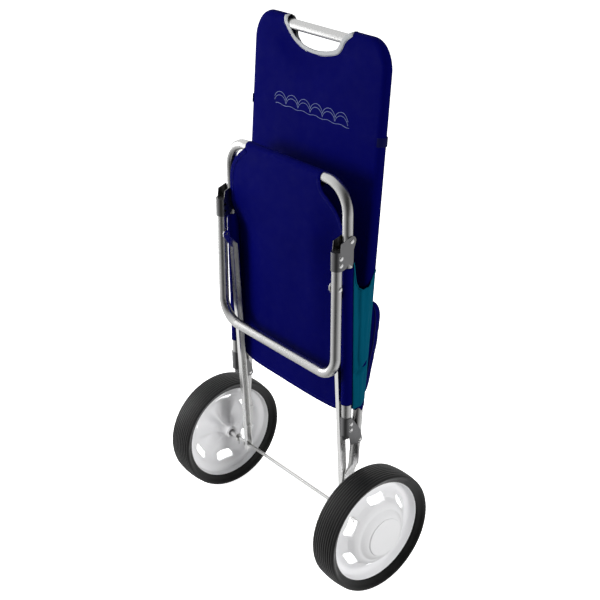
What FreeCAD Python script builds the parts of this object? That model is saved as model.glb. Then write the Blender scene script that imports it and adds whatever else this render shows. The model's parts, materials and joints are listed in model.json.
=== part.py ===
import FreeCAD, Part
import Sketcher
import math
import os

# Folding beach cart and chair: a sling-covered back frame on two large wheels, with a
# seat frame, a front leg and a pair of axle struts that unfold together into a chair.
# Millimetres. +X is the cart's left-right axis, +Y its rear, +Z up. The origin is on the
# ground, midway between the wheels and straight below the axle.

Vector = FreeCAD.Vector
Rotation = FreeCAD.Rotation
Placement = FreeCAD.Placement
X_AXIS, Y_AXIS, Z_AXIS = Vector(1, 0, 0), Vector(0, 1, 0), Vector(0, 0, 1)
SIDES = (("left", -1), ("right", 1))

os.makedirs("parts", exist_ok=True)
doc = FreeCAD.newDocument("beach_cart")

# ---------------------------------------------------------------- driving dimensions
DIMENSIONS = [
    # wheels and axle
    ("wheel_radius", 140.0), ("tyre_width", 66.0), ("track_half", 264.0),
    ("rim_radius", 118.0), ("barrel_radius", 115.0), ("tread_rib", 2.0),
    ("axle_radius", 4.0), ("bush_radius", 6.0), ("hub_radius", 15.0),
    ("hub_end", -25.0), ("hub_recess", 10.0), ("recess_radius", 9.0),
    ("axle_half", 300.0), ("running_gap", 0.05), ("pin_station", 209.5),
    ("slot_circle", 83.0), ("slot_width", 16.0), ("slot_span", 44.0), ("cap_radius", 44.5),
    ("rim_half", 19.5),
    # tubes
    ("tube_radius", 11.0), ("tube_wall", 1.4), ("frame_half", 192.0),
    ("rivet_radius", 3.0), ("rivet_head", 5.5), ("head_height", 2.4),
    ("shop_head", 3.8), ("shop_height", 1.3),
    # back frame, measured along its own lean from the seat hinge
    ("hinge_back", 16.0), ("hinge_height", 328.0), ("back_slope", 0.072),
    ("handle_height", 1157.0), ("back_bend", 42.0),
    ("blade_half", 14.0), ("blade_inner", 181.0), ("blade_thick", 3.0),
    # seat frame, measured along its own lean from its foot
    ("seat_foot_y", -11.0), ("seat_slope", 0.01285), ("seat_bar_height", 907.0),
    ("seat_tube_end", 346.0), ("seat_bend", 58.0),
    # front leg
    ("leg_y", -44.5), ("leg_bar_height", 490.0), ("leg_top", 778.0), ("leg_bend", 50.0),
    # linkage pins
    ("upper_pin_y", -17.0), ("upper_pin_z", 796.0),
    ("leg_pin_y", -44.5), ("leg_pin_z", 698.0),
    ("strut_pin_y", 1.0), ("strut_pin_z", 187.0),
    # brackets and struts
    ("bracket_wall", 1.5), ("bracket_gap", 0.2),
    ("strut_outer", 178.8), ("strut_width", 10.5), ("strut_wall", 1.5),
    ("strut_front", -6.5), ("strut_rear", 9.2), ("strut_slope", 0.055),
    # fabric
    ("sleeve_radius", 12.2), ("sleeve_bore", 11.25), ("soft_gap", 0.4),
    ("cover_bottom", 399.0), ("cut_half", 108.0), ("cut_bottom", 1108.0),
    ("seat_cover_top", 737.0), ("seat_cover_end", 422.0), ("seat_cover_low", 380.0),
    ("bar_sleeve_half", 120.0),
    ("pillow_low", 990.0), ("pillow_high", 1138.0), ("pillow_half", 178.0),
    ("pillow_depth", 24.0), ("notch_half", 122.0), ("notch_bottom", 1062.0),
    ("pouch_low", 402.0), ("pouch_high", 636.0), ("pouch_half", 192.0),
    ("pouch_depth", 22.0),
]
sheet = doc.addObject("Spreadsheet::Sheet", "dimensions")
for row, (alias, number) in enumerate(DIMENSIONS, start=1):
    sheet.set("A%d" % row, alias)
    sheet.set("B%d" % row, "%.6g" % number)
    sheet.setAlias("B%d" % row, alias)
doc.recompute()
size = {alias: float(number) for alias, number in DIMENSIONS}
SHEET = "dimensions."

# Frame of each tilted sub-assembly: its lean angle about X and its local origin.
back_tilt = -math.degrees(math.atan(size["back_slope"]))
seat_tilt = math.degrees(math.atan(size["seat_slope"]))
strut_tilt = math.degrees(math.atan(size["strut_slope"]))
BACK = Placement(Vector(0, size["hinge_back"], size["hinge_height"]), Rotation(X_AXIS, back_tilt))
SEAT = Placement(Vector(0, size["seat_foot_y"], size["hinge_height"]), Rotation(X_AXIS, seat_tilt))
LEG = Placement(Vector(0, size["leg_y"], 0), Rotation())
STRUT = Placement(Vector(0, 0, size["wheel_radius"]), Rotation(X_AXIS, strut_tilt))
WORLD = Placement()


def local(frame, y, z):
    """Global side-view point (y, z) in a tilted frame's own side view."""
    point = frame.inverse().multVec(Vector(0, y, z))
    return point.y, point.z


def height_in(frame, z_global):
    """Distance along a tilted frame's own Z axis to a global height on its centreline."""
    return (z_global - frame.Base.z) / math.cos(frame.Rotation.Angle)


# ---------------------------------------------------------------- modelling helpers
counter = [0]


def unique(stem):
    counter[0] += 1
    return "%s_%03d" % (stem, counter[0])


def plane_of(body, role):
    return [feature for feature in body.Origin.OriginFeatures if feature.Role == role][0]


def new_body(label):
    body = doc.addObject("PartDesign::Body", unique("Body"))
    body.Label = label
    return body


def new_sketch(body, role, offset=None):
    sketch = body.newObject("Sketcher::SketchObject", unique("Sketch"))
    sketch.AttachmentSupport = [(plane_of(body, role), "")]
    sketch.MapMode = "FlatFace"
    if offset is not None:
        sketch.AttachmentOffset = offset
    return sketch


def add_outline(sketch, points):
    """Closed polygon through the given (u, v) points."""
    corners = [Vector(u, v, 0) for u, v in points]
    for start, end in zip(corners, corners[1:] + corners[:1]):
        sketch.addGeometry(Part.LineSegment(start, end), False)


def add_circle(sketch, u, v, radius_expression, radius):
    index = sketch.addGeometry(Part.Circle(Vector(u, v, 0), Z_AXIS, radius), False)
    constraint = sketch.addConstraint(Sketcher.Constraint("Radius", index, radius))
    sketch.setExpression("Constraints[%d]" % constraint, SHEET + radius_expression)
    return index


def u_path(half, bend, foot, bar, sign=1):
    """Edges of a U: up one side, across the bar and down the other. sign -1 opens upward."""
    straight = bar - sign * bend
    corner = bend * (1 - math.cos(math.pi / 4))
    left_arc = Part.Arc(Vector(-half, straight, 0),
                        Vector(-half + corner, bar - sign * corner, 0),
                        Vector(-half + bend, bar, 0))
    right_arc = Part.Arc(Vector(half - bend, bar, 0),
                         Vector(half - corner, bar - sign * corner, 0),
                         Vector(half, straight, 0))
    return [Part.LineSegment(Vector(-half, foot, 0), Vector(-half, straight, 0)), left_arc,
            Part.LineSegment(Vector(-half + bend, bar, 0), Vector(half - bend, bar, 0)),
            right_arc,
            Part.LineSegment(Vector(half, straight, 0), Vector(half, foot, 0))]


def bent_tube(label, bend, foot, bar, outer, inner=None, sign=1):
    """U-shaped tube in its body's XZ plane; solid when no inner radius is named."""
    body = new_body(label)
    half = size["frame_half"]
    path = new_sketch(body, "XZ_Plane")
    for edge in u_path(half, size[bend], foot, bar, sign):
        path.addGeometry(edge, False)
    profile = new_sketch(body, "XY_Plane", Placement(Vector(-half, 0, foot), Rotation()))
    profile.setExpression("AttachmentOffset.Base.x", "-" + SHEET + "frame_half")
    add_circle(profile, 0, 0, outer, size[outer])
    if inner:
        index = profile.addGeometry(Part.Circle(Vector(0, 0, 0), Z_AXIS, inner[1]), False)
        constraint = profile.addConstraint(Sketcher.Constraint("Radius", index, inner[1]))
        profile.setExpression("Constraints[%d]" % constraint, inner[0])
    pipe = body.newObject("PartDesign::AdditivePipe", unique("Pipe"))
    pipe.Profile = profile
    pipe.Spine = (path, ["Edge%d" % (i + 1) for i in range(5)])
    body.Tip = pipe
    return body


def x_cylinder(radius, y, z, x_from, x_to, radius_expression=None):
    """Part::Cylinder along X."""
    rod = doc.addObject("Part::Cylinder", unique("Rod"))
    rod.Radius = radius
    if radius_expression:
        rod.setExpression("Radius", radius_expression)
    rod.Height = x_to - x_from
    rod.Placement = Placement(Vector(x_from, y, z), Rotation(Y_AXIS, 90))
    return rod


def box(x_from, x_to, y_from, y_to, z_from, z_to):
    block = doc.addObject("Part::Box", unique("Box"))
    block.Length, block.Width, block.Height = x_to - x_from, y_to - y_from, z_to - z_from
    block.Placement = Placement(Vector(x_from, y_from, z_from), Rotation())
    return block


def fuse(shapes, label=None):
    joined = doc.addObject("Part::MultiFuse", unique("Fuse"))
    joined.Shapes = shapes
    joined.Refine = True
    if label:
        joined.Label = label
    return joined


def cut(base, tools, label=None):
    result = doc.addObject("Part::Cut", unique("Cut"))
    result.Base = base
    result.Tool = fuse(tools) if len(tools) > 1 else tools[0]
    result.Refine = True
    if label:
        result.Label = label
    return result


def place(obj, frame):
    obj.Placement = frame
    return obj


def prism(outline, x_from, x_to, label=None):
    """Solid between two X positions from a side-view outline of (y, z) points."""
    body = new_body(label or unique("Plate"))
    sketch = new_sketch(body, "YZ_Plane", Placement(Vector(0, 0, x_from), Rotation()))
    add_outline(sketch, outline)
    pad = body.newObject("PartDesign::Pad", unique("Pad"))
    pad.Profile = sketch
    pad.Length = x_to - x_from
    body.Tip = pad
    return body


def slab(outline, y_from, y_to, label=None):
    """Solid between two Y positions from a front-view outline of (x, z) points."""
    body = new_body(label or unique("Slab"))
    sketch = new_sketch(body, "XZ_Plane", Placement(Vector(0, 0, -y_to), Rotation()))
    add_outline(sketch, outline)
    pad = body.newObject("PartDesign::Pad", unique("Pad"))
    pad.Profile = sketch
    pad.Length = y_to - y_from
    body.Tip = pad
    return body


def arc_points(cu, cv, radius, start, end, count):
    """Points of a round corner, angles in degrees."""
    step = (end - start) / (count - 1)
    angles = [math.radians(start + step * i) for i in range(count)]
    return [(cu + radius * math.cos(a), cv + radius * math.sin(a)) for a in angles]


def spun(label, outline):
    """Solid of revolution about X from (x, r) points."""
    body = new_body(label)
    sketch = new_sketch(body, "XZ_Plane")
    add_outline(sketch, outline)
    turned = body.newObject("PartDesign::Revolution", unique("Revolution"))
    turned.Profile = sketch
    turned.ReferenceAxis = (sketch, ["H_Axis"])
    turned.Angle = 360
    body.Tip = turned
    return body


def dome(x, y, z, direction, wide, rise):
    """Half ellipsoid standing on a plane across X; wide and rise are sheet aliases."""
    head = doc.addObject("Part::Ellipsoid", unique("Head"))
    head.Radius1, head.Radius2, head.Radius3, head.Angle1 = size[rise], size[wide], 0, 0
    head.setExpression("Radius1", SHEET + rise)
    head.setExpression("Radius2", SHEET + wide)
    head.Placement = Placement(Vector(x, y, z), Rotation(Y_AXIS, 90 * direction))
    return head


def rivet(label, y, z, grips):
    """Domed rivets along X, joined as one group. grips lists (inner, outer, heads) for
    one side; each is mirrored to the other side. heads names where a head sits."""
    radius = size["rivet_radius"]
    solids = []
    for _, side in SIDES:
        for inner, outer, heads in grips:
            low, high = sorted((side * inner, side * outer))
            solids.append(x_cylinder(radius, y, z, low, high, SHEET + "rivet_radius"))
            for where, at, direction, wide, rise in (
                    ("outer", outer, side, "rivet_head", "head_height"),
                    ("inner", inner, -side, "shop_head", "shop_height")):
                if where in heads:
                    solids.append(dome(side * at, y, z, direction, wide, rise))
    return fuse(solids, label)


# ---------------------------------------------------------------- shared positions
tube_r = size["tube_radius"]
half = size["frame_half"]
bore = (SHEET + "tube_radius - " + SHEET + "tube_wall", tube_r - size["tube_wall"])
rivet_bore = size["rivet_radius"]
pin_bore = size["rivet_radius"] + size["running_gap"]
reach = half + 40

upper_pin = (size["upper_pin_y"], size["upper_pin_z"])
leg_pin = (size["leg_pin_y"], size["leg_pin_z"])
strut_pin = (size["strut_pin_y"], size["strut_pin_z"])
hinge_pin = (size["hinge_back"], size["hinge_height"])
seat_rivets = [(-9.6, 375.0), (-9.8, 361.0)]
leg_rivets = [(size["leg_y"], 766.0), (size["leg_y"], 751.0)]


def drilled(solid, holes, label, frame=WORLD):
    """Cut cross holes, given as (y, z, radius) in global side view, through a solid that
    is modelled in frame, and place the result."""
    drills = []
    for y, z, radius in holes:
        y_local, z_local = local(frame, y, z)
        drills.append(x_cylinder(radius, y_local, z_local, -reach, reach))
    return place(cut(solid, drills, label), frame)


# ---------------------------------------------------------------- back frame
def back_frame():
    bar = height_in(BACK, size["handle_height"])
    foot = -62.0
    pin_y, pin_z = local(BACK, *strut_pin)
    tube = bent_tube("back_tube", "back_bend", foot, bar, "tube_radius", bore)
    pieces = [tube]
    inner, thick, wide = size["blade_inner"], size["blade_thick"], size["blade_half"]
    for _, side in SIDES:
        top = doc.addObject("Part::Ellipse", unique("TubeEnd"))
        top.MajorRadius, top.MinorRadius = tube_r - 0.3, tube_r - 0.6
        top.Placement = Placement(Vector(side * half, 0, foot + 1), Rotation(Z_AXIS, 90))
        low = doc.addObject("Part::Ellipse", unique("BladeEnd"))
        low.MajorRadius, low.MinorRadius = wide - 0.4, thick / 2 - 0.2
        centre = side * (inner + thick / 2)
        low.Placement = Placement(Vector(centre, 0, foot - 34), Rotation(Z_AXIS, 90))
        loft = doc.addObject("Part::Loft", unique("Flattening"))
        loft.Sections, loft.Solid, loft.Ruled = [top, low], True, True
        edges = sorted((side * inner, side * (inner + thick)))
        blade = box(edges[0], edges[1], -wide, wide, pin_z, foot - 30)
        blade.setExpression("Width", "2 * " + SHEET + "blade_half")
        tip = x_cylinder(wide, 0, pin_z, edges[0], edges[1], SHEET + "blade_half")
        pieces += [loft, blade, tip]
    holes = [(strut_pin[0], strut_pin[1], rivet_bore), (hinge_pin[0], hinge_pin[1], pin_bore)]
    return drilled(fuse(pieces), holes, "back_frame_tube", BACK)


def back_cover():
    """Two-layer sock over the back frame, open where the handle bar shows."""
    bar = height_in(BACK, size["handle_height"])
    low = height_in(BACK, size["cover_bottom"])
    outer, inner, bend = size["sleeve_radius"], size["sleeve_bore"], size["back_bend"]
    corner = arc_points(half - bend, bar - bend, bend, 0, 90, 7)
    outline = [(-half, low), (half, low)] + corner + [(-x, z) for x, z in reversed(corner)]
    skin = fuse([bent_tube("cover_edge", "back_bend", low, bar, "sleeve_radius"),
                 slab(outline, -outer, outer)])
    below = low - 1
    hollow_outline = [(-half, below), (half, below)] + outline[2:]
    hollow_edge = bent_tube("cover_edge_bore", "back_bend", below, bar, "sleeve_bore")
    hollow = fuse([hollow_edge, slab(hollow_outline, -inner, inner)])
    hand_hole = bowl_prism(size["cut_half"], size["cut_bottom"])
    return place(cut(skin, [hollow, hand_hole], "back_cover"), BACK)


def bowl_prism(half_width, z_low):
    """Round-bottomed notch, open at the top, through the top of the back."""
    bar = height_in(BACK, size["handle_height"])
    low = height_in(BACK, z_low)
    shoulder = bar - 2
    bowl = [(half_width * math.sin(a), shoulder - (shoulder - low) * math.cos(a) ** 0.8)
            for a in (math.radians(9 * i) for i in range(10))]
    opening = [(-x, z) for x, z in reversed(bowl[1:])] + bowl
    opening += [(half_width, bar + 40), (-half_width, bar + 40)]
    return slab(opening, -60, 60)


def cushion(label, z_low, z_high, wide, depth, corner, notch=None):
    """Plain padded block on the rear face of the back cover."""
    low, high = height_in(BACK, z_low), height_in(BACK, z_high)
    start = size["sleeve_radius"] + 0.05
    block = box(-wide, wide, start, start + depth, low, high)
    pad = doc.addObject("Part::Fillet", unique("Cushion"))
    pad.Base = block
    doc.recompute()
    rear = start + depth
    edges = []
    for i, edge in enumerate(block.Shape.Edges, start=1):
        if min(v.Point.y for v in edge.Vertexes) > rear - 0.01:
            edges.append((i, corner, corner))
    pad.Edges = edges
    if notch:
        pad = cut(pad, [notch])
    pad.Label = label
    return place(pad, BACK)


def pillow_strap():
    """Elastic loops that hold the head pillow to the cover's edges."""
    start = size["sleeve_radius"] + 0.05
    low = height_in(BACK, size["pillow_low"]) - 18
    tabs = [box(*sorted((side * 168, side * 186)), start, start + 2.4, low, low + 17.9)
            for _, side in SIDES]
    return place(fuse(tabs, "pillow_straps"), BACK)


def gussets():
    """Side walls of the cargo pocket between the seat and the back."""
    gap = size["soft_gap"]
    nodes = []
    seat_rear = size["sleeve_radius"] + gap

    def seat_edge(z):
        return size["seat_foot_y"] - size["seat_slope"] * (z - size["hinge_height"]) + seat_rear

    def back_edge(z):
        lean = size["hinge_back"] + size["back_slope"] * (z - size["hinge_height"])
        return lean - size["sleeve_radius"] - 0.1

    front_top, scoop_z, rear_top, bottom = 748.0, 690.0, 722.0, 416.0
    scoop_y = (seat_edge(scoop_z) + back_edge(scoop_z)) / 2
    outline = [(seat_edge(bottom), bottom), (back_edge(bottom), bottom),
               (back_edge(rear_top), rear_top), (scoop_y, scoop_z),
               (seat_edge(front_top), front_top)]
    for name, side in SIDES:
        edges = sorted((side * 189.0, side * 193.0))
        nodes.append(prism(outline, edges[0], edges[1], "gusset_" + name))
    floor = box(-188.5, 188.5, seat_edge(bottom) + 0.2, back_edge(405.0) - 0.2, 402.0, 405.0)
    floor.Label = "pocket_floor"
    return nodes + [floor]


# ---------------------------------------------------------------- seat frame
def seat_frame():
    bar = height_in(SEAT, size["seat_bar_height"])
    foot = height_in(SEAT, size["seat_tube_end"])
    tube = bent_tube("seat_tube_blank", "seat_bend", foot, bar, "tube_radius", bore)
    holes = [(upper_pin[0], upper_pin[1], pin_bore)]
    holes += [(y, z, rivet_bore) for y, z in seat_rivets]
    return drilled(tube, holes, "seat_tube", SEAT)


def seat_cover():
    """Seat sling: a panel behind the tubes with sleeves on the side rails and front bar."""
    bar = height_in(SEAT, size["seat_bar_height"])
    top = height_in(SEAT, size["seat_cover_top"])
    end = height_in(SEAT, size["seat_cover_end"])
    low = height_in(SEAT, size["seat_cover_low"])
    outer, inner = size["sleeve_radius"], size["sleeve_bore"]
    bar_half = size["bar_sleeve_half"]
    side_edge = half - 4
    outline = [(-side_edge, top), (-side_edge, end), (-160, low + 4), (-140, low), (140, low),
               (160, low + 4), (side_edge, end), (side_edge, top), (bar_half + 30, bar - 75),
               (bar_half, bar), (-bar_half, bar), (-bar_half - 30, bar - 75)]
    solids = [slab(outline, outer - 2.8, outer - 0.3)]
    bores = [x_cylinder(inner, 0, bar, -bar_half - 1, bar_half + 1, SHEET + "sleeve_bore")]
    solids.append(x_cylinder(outer, 0, bar, -bar_half, bar_half, SHEET + "sleeve_radius"))
    for _, side in SIDES:
        for radius, name, group, extra in ((outer, "sleeve_radius", solids, 0),
                                           (inner, "sleeve_bore", bores, 1)):
            sleeve = doc.addObject("Part::Cylinder", unique("Sleeve"))
            sleeve.setExpression("Radius", SHEET + name)
            sleeve.Radius = radius
            sleeve.Height = top - end + 2 * extra
            sleeve.Placement = Placement(Vector(side * half, 0, end - extra), Rotation())
            group.append(sleeve)
    return place(cut(fuse(solids), bores, "seat_cover"), SEAT)


def channel_bracket(label, side, ear, wrap_low, wrap_high, wrap_y, holes, frame):
    """Stamped channel: two ears with the given side-view outline, joined round the front
    of the tube that it is riveted to."""
    inner = tube_r + size["bracket_gap"]
    outer = inner + size["bracket_wall"]
    blank = prism(ear, side * half - outer, side * half + outer)
    nose = doc.addObject("Part::Cylinder", unique("Nose"))
    nose.Radius, nose.Height = outer, wrap_high - wrap_low
    nose.Placement = Placement(Vector(side * half, wrap_y, wrap_low), Rotation())
    bore_round = doc.addObject("Part::Cylinder", unique("NoseBore"))
    bore_round.Radius, bore_round.Height = inner, wrap_high - wrap_low + 200
    bore_round.Placement = Placement(Vector(side * half, wrap_y, wrap_low - 100), Rotation())
    slot = box(side * half - inner, side * half + inner, wrap_y, wrap_y + 120,
               wrap_low - 100, wrap_high + 100)
    shell = cut(fuse([blank, nose]), [bore_round, slot])
    return drilled(shell, holes, label, frame)


def seat_brackets():
    """Hinge brackets on the feet of the seat rails; their ears straddle the back tubes."""
    seat_y = 0.0
    pin_y, pin_z = local(SEAT, *hinge_pin)
    wrap_low, wrap_high = 19.0, 62.0
    round_end = arc_points(pin_y, pin_z, 8.0, -80, 30, 7)
    ear = [(seat_y, wrap_low), (seat_y - 2, wrap_low), (seat_y + 1, -4.0)]
    ear += round_end + [(pin_y + 3.5, 22.0), (seat_y + 11, 52.0), (seat_y + 4, 60.0)]
    ear += [(seat_y - 2, wrap_high)]
    holes = [(hinge_pin[0], hinge_pin[1], rivet_bore)]
    holes += [(y, z, rivet_bore) for y, z in seat_rivets]
    return [channel_bracket("hinge_bracket_" + name, side, ear, wrap_low, wrap_high, seat_y,
                            holes, SEAT) for name, side in SIDES]


def leg_brackets():
    """Brackets on the tops of the leg tubes; their ears straddle the seat rails."""
    pin_y, pin_z = local(LEG, *upper_pin)
    wrap_low, wrap_high = 738.0, 778.5
    ear = [(0.0, wrap_low), (7.5, 739.0), (13.5, 742.0), (20.0, 750.0), (28.0, 743.0),
           (31.0, 745.0), (32.5, 751.0), (32.5, 777.0)]
    ear += arc_points(pin_y, pin_z, 11.0, -20, 85, 8)
    ear += [(9.5, 800.0), (0.5, 797.0), (-2.0, wrap_high), (-2.0, wrap_low)]
    holes = [(upper_pin[0], upper_pin[1], rivet_bore)]
    holes += [(y, z, rivet_bore) for y, z in leg_rivets]
    return [channel_bracket("leg_bracket_" + name, side, ear, wrap_low, wrap_high, 0.0,
                            holes, LEG) for name, side in SIDES]


def plugs(label, frame, z_end, direction):
    """Plastic plugs in open tube ends."""
    solids = []
    for _, side in SIDES:
        plug = doc.addObject("Part::Cylinder", unique("Plug"))
        plug.Radius = tube_r - size["tube_wall"]
        plug.setExpression("Radius", bore[0])
        plug.Height = 12
        base = z_end if direction > 0 else z_end - 12
        plug.Placement = Placement(Vector(side * half, 0, base), Rotation())
        solids.append(plug)
    return place(fuse(solids, label), frame)


# ---------------------------------------------------------------- front leg
def front_leg():
    tube = bent_tube("leg_tube_blank", "leg_bend", size["leg_top"], size["leg_bar_height"],
                     "tube_radius", bore, sign=-1)
    holes = [(leg_pin[0], leg_pin[1], rivet_bore)]
    holes += [(y, z, rivet_bore) for y, z in leg_rivets]
    return drilled(tube, holes, "leg_tube", LEG)


# ---------------------------------------------------------------- axle struts
def strut(name, side):
    """Channel open to the inside, with an ear that reaches forward to the leg pin."""
    front, rear = size["strut_front"], size["strut_rear"]
    outer, wall = size["strut_outer"], size["strut_wall"]
    inner = outer - size["strut_width"]
    ear_y, ear_z = local(STRUT, *leg_pin)
    foot, shoulder = -19.0, ear_z - 26
    tip = arc_points(ear_y, ear_z, 8.0, 10, 190, 9)
    web = [(front, foot + 3), (front + 3, foot), (rear - 3, foot), (rear, foot + 3),
           (rear, shoulder), (ear_y + 9.5, ear_z - 10)] + tip
    web += [(ear_y - 8.0, ear_z - 6), (front, shoulder - 6)]
    plate = prism(web, *sorted((side * (outer - wall), side * outer)))
    edges = sorted((side * inner, side * outer))
    flanges = [box(edges[0], edges[1], front, front + wall, foot + 3, shoulder - 6),
               box(edges[0], edges[1], rear - wall, rear, foot + 3, shoulder - 2)]
    holes = [(0, size["wheel_radius"], size["axle_radius"]),
             (strut_pin[0], strut_pin[1], pin_bore), (leg_pin[0], leg_pin[1], rivet_bore + 0.8)]
    return drilled(fuse([plate] + flanges), holes, "strut_" + name, STRUT)


def ring(x_from, x_to, outer, inner, label, side):
    low, high = sorted((side * x_from, side * x_to))
    axle_z = size["wheel_radius"]
    body = cut(x_cylinder(outer, 0, axle_z, low, high),
               [x_cylinder(inner, 0, axle_z, low - 1, high + 1)], label)
    return body


def split_pin(name, side):
    """Split pin through the axle: a pair of legs below and an eye above."""
    x, axle_z, wire = side * size["pin_station"], size["wheel_radius"], 1.6
    shank = doc.addObject("Part::Cylinder", unique("Shank"))
    shank.Radius, shank.Height = wire, 25
    shank.Placement = Placement(Vector(x, 0, axle_z - 18), Rotation())
    eye = doc.addObject("Part::Torus", unique("Eye"))
    eye.Radius1, eye.Radius2 = 2.6, 0.9
    eye.Placement = Placement(Vector(x, 0, axle_z + 8.6), Rotation(Y_AXIS, 90))
    pin = fuse([shank, eye])
    rod = x_cylinder(size["axle_radius"], 0, axle_z, x - 5, x + 5, SHEET + "axle_radius")
    return cut(pin, [rod], "split_pin_" + name)


# ---------------------------------------------------------------- wheels
def tyre(name, side):
    """Semi-pneumatic tyre: nearly flat crown with fine circumferential ribs, square shoulders
    and sidewalls that slope in to a narrower rim."""
    wide, rim, out = size["tyre_width"] / 2, size["rim_radius"], size["wheel_radius"]
    seat = size["rim_half"]
    crown_half, crown_fall, shoulder_drop = wide - 1.5, 3.0, 6.0
    ribs = 10
    crown = []
    for i in range(2 * ribs + 1):
        x = crown_half * (i / ribs - 1)
        groove = size["tread_rib"] if i % 2 else 0
        crown.append((x, out - crown_fall * (x / wide) ** 2 - groove))
    wall = [(wide, out - shoulder_drop), (wide - 3, out - 9), (seat + 4, rim + 3), (seat, rim)]
    outline = crown + wall + [(-x, r) for x, r in reversed(wall)]
    return wheel_place(spun("tyre_" + name, outline), side)


def wheel_place(obj, side):
    turn = Rotation(Z_AXIS, 0 if side > 0 else 180)
    base = Vector(side * size["track_half"], 0, size["wheel_radius"])
    return place(obj, Placement(base, turn))


def rim(name, side):
    """Moulded wheel: barrel, steep slotted cone, domed centre, hub tube and ribs."""
    rim_r, barrel, hub = size["rim_radius"] - 0.05, size["barrel_radius"], size["hub_radius"]
    bush, start = size["bush_radius"], size["hub_end"]
    seat, recess, half = start + size["hub_recess"], size["recess_radius"], size["rim_half"]
    outline = [(-half, rim_r), (half, rim_r), (half, barrel), (2, barrel - 1.5),
               (-1.5, 109), (-2, 103), (0.5, 98), (4.5, 94.5), (27.5, 72), (33, 65.5),
               (36, 60), (40, 53), (43.5, 46.5), (46, 43), (46, 26.5),
               (43, 26.5), (43, 41.5), (40.5, 45), (37, 51.5), (33, 58.5), (30, 63.5),
               (27.6, 66), (27.6, bush),
               (seat, bush), (seat, recess), (start, recess), (start, hub),
               (24.2, hub + 1.5), (24.2, 69.5), (1, 92), (-4, 96.5), (-5.5, 103),
               (-5, 110), (-8, barrel - 0.5), (-half, barrel)]
    disc = spun("rim_blank_" + name, outline)
    inner, outer = size["slot_circle"] - size["slot_width"] / 2, size["slot_width"]
    slots, ribs = [], []
    for i in range(6):
        angle = 30 + 60 * i
        window = box(-8, 34, -size["slot_span"] / 2, size["slot_span"] / 2, inner,
                     inner + outer)
        rounded = doc.addObject("Part::Fillet", unique("Window"))
        rounded.Base = window
        doc.recompute()
        rounded.Edges = [(n, 6.0, 6.0) for n, edge in enumerate(window.Shape.Edges, start=1)
                         if abs(edge.Vertexes[0].Point.x - edge.Vertexes[1].Point.x) > 1]
        rounded.Placement = Placement(Vector(), Rotation(X_AXIS, angle))
        slots.append(rounded)
        gusset = new_body(unique("Rib"))
        sketch = new_sketch(gusset, "XZ_Plane")
        add_outline(sketch, [(-20, hub - 1), (25.5, hub - 1), (25.5, 70), (12, 83),
                             (8, 78), (-6, 34)])
        pad = gusset.newObject("PartDesign::Pad", unique("Pad"))
        pad.Profile, pad.Length, pad.Midplane = sketch, 3.2, True
        gusset.Tip = pad
        gusset.Placement = Placement(Vector(), Rotation(X_AXIS, angle + 30))
        ribs.append(gusset)
    return wheel_place(cut(fuse([disc] + ribs), slots, "rim_" + name), side)


def hub_cap(name, side):
    """Round cap over the axle end."""
    cap = size["cap_radius"]
    outline = [(46.4, 0), (46.4, 26.4), (46.1, 26.6), (46.1, cap - 1), (46.7, cap),
               (48.2, cap - 0.6), (49.6, 34), (50.2, 20), (50.4, 0)]
    return wheel_place(spun("hub_cap_" + name, outline), side)


def bush_end():
    """Inboard end of the bush, from the wheel's middle."""
    return size["hub_end"] + size["hub_recess"] - 2


def bush(name, side):
    """Sleeve bearing pressed into the hub, running on the axle."""
    start, radius = bush_end(), size["bush_radius"] - 0.01
    run, flange = size["axle_radius"] + size["running_gap"], size["recess_radius"] - 0.05
    outline = [(start, run), (27.6, run), (27.6, radius), (start + 2, radius),
               (start + 2, flange), (start, flange)]
    return wheel_place(spun("hub_bush_" + name, outline), side)


# ---------------------------------------------------------------- assembly
inner_ear = half - tube_r - size["bracket_gap"] - size["bracket_wall"]
outer_ear = half + tube_r + size["bracket_gap"] + size["bracket_wall"]
web_inner = size["strut_outer"] - size["strut_wall"]
blade_outer = size["blade_inner"] + size["blade_thick"]

nodes = [back_frame(), back_cover()]
nodes.append(cushion("head_pillow", size["pillow_low"], size["pillow_high"],
                     size["pillow_half"], size["pillow_depth"], 14.0,
                     bowl_prism(size["notch_half"], size["notch_bottom"])))
nodes.append(cushion("rear_pouch", size["pouch_low"], size["pouch_high"],
                     size["pouch_half"], size["pouch_depth"], 14.0))
nodes.append(pillow_strap())
nodes += gussets()
nodes += [seat_frame(), seat_cover()] + seat_brackets()
nodes.append(plugs("seat_tube_plugs", SEAT, height_in(SEAT, size["seat_tube_end"]), 1))
nodes += [front_leg()] + leg_brackets()
nodes.append(plugs("leg_tube_plugs", LEG, size["leg_top"], -1))

both_ears = (inner_ear, outer_ear, ("inner", "outer"))
blind = (half + tube_r - size["tube_wall"], outer_ear, ("outer",))
nodes.append(rivet("seat_hinge_rivets", *hinge_pin, [both_ears]))
nodes.append(rivet("leg_hinge_rivets", *upper_pin, [both_ears]))
for name, pair in (("hinge_bracket_rivets", seat_rivets), ("leg_bracket_rivets", leg_rivets)):
    groups = [rivet(unique("Pair"), y, z, [blind]) for y, z in pair]
    nodes.append(fuse(groups, name))
nodes.append(rivet("strut_top_rivets", *leg_pin,
                   [(size["strut_outer"] + 0.35, half + tube_r, ("outer",))]))
nodes.append(rivet("strut_pivot_rivets", *strut_pin,
                   [(web_inner - 0.3, blade_outer, ("inner", "outer"))]))

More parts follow.
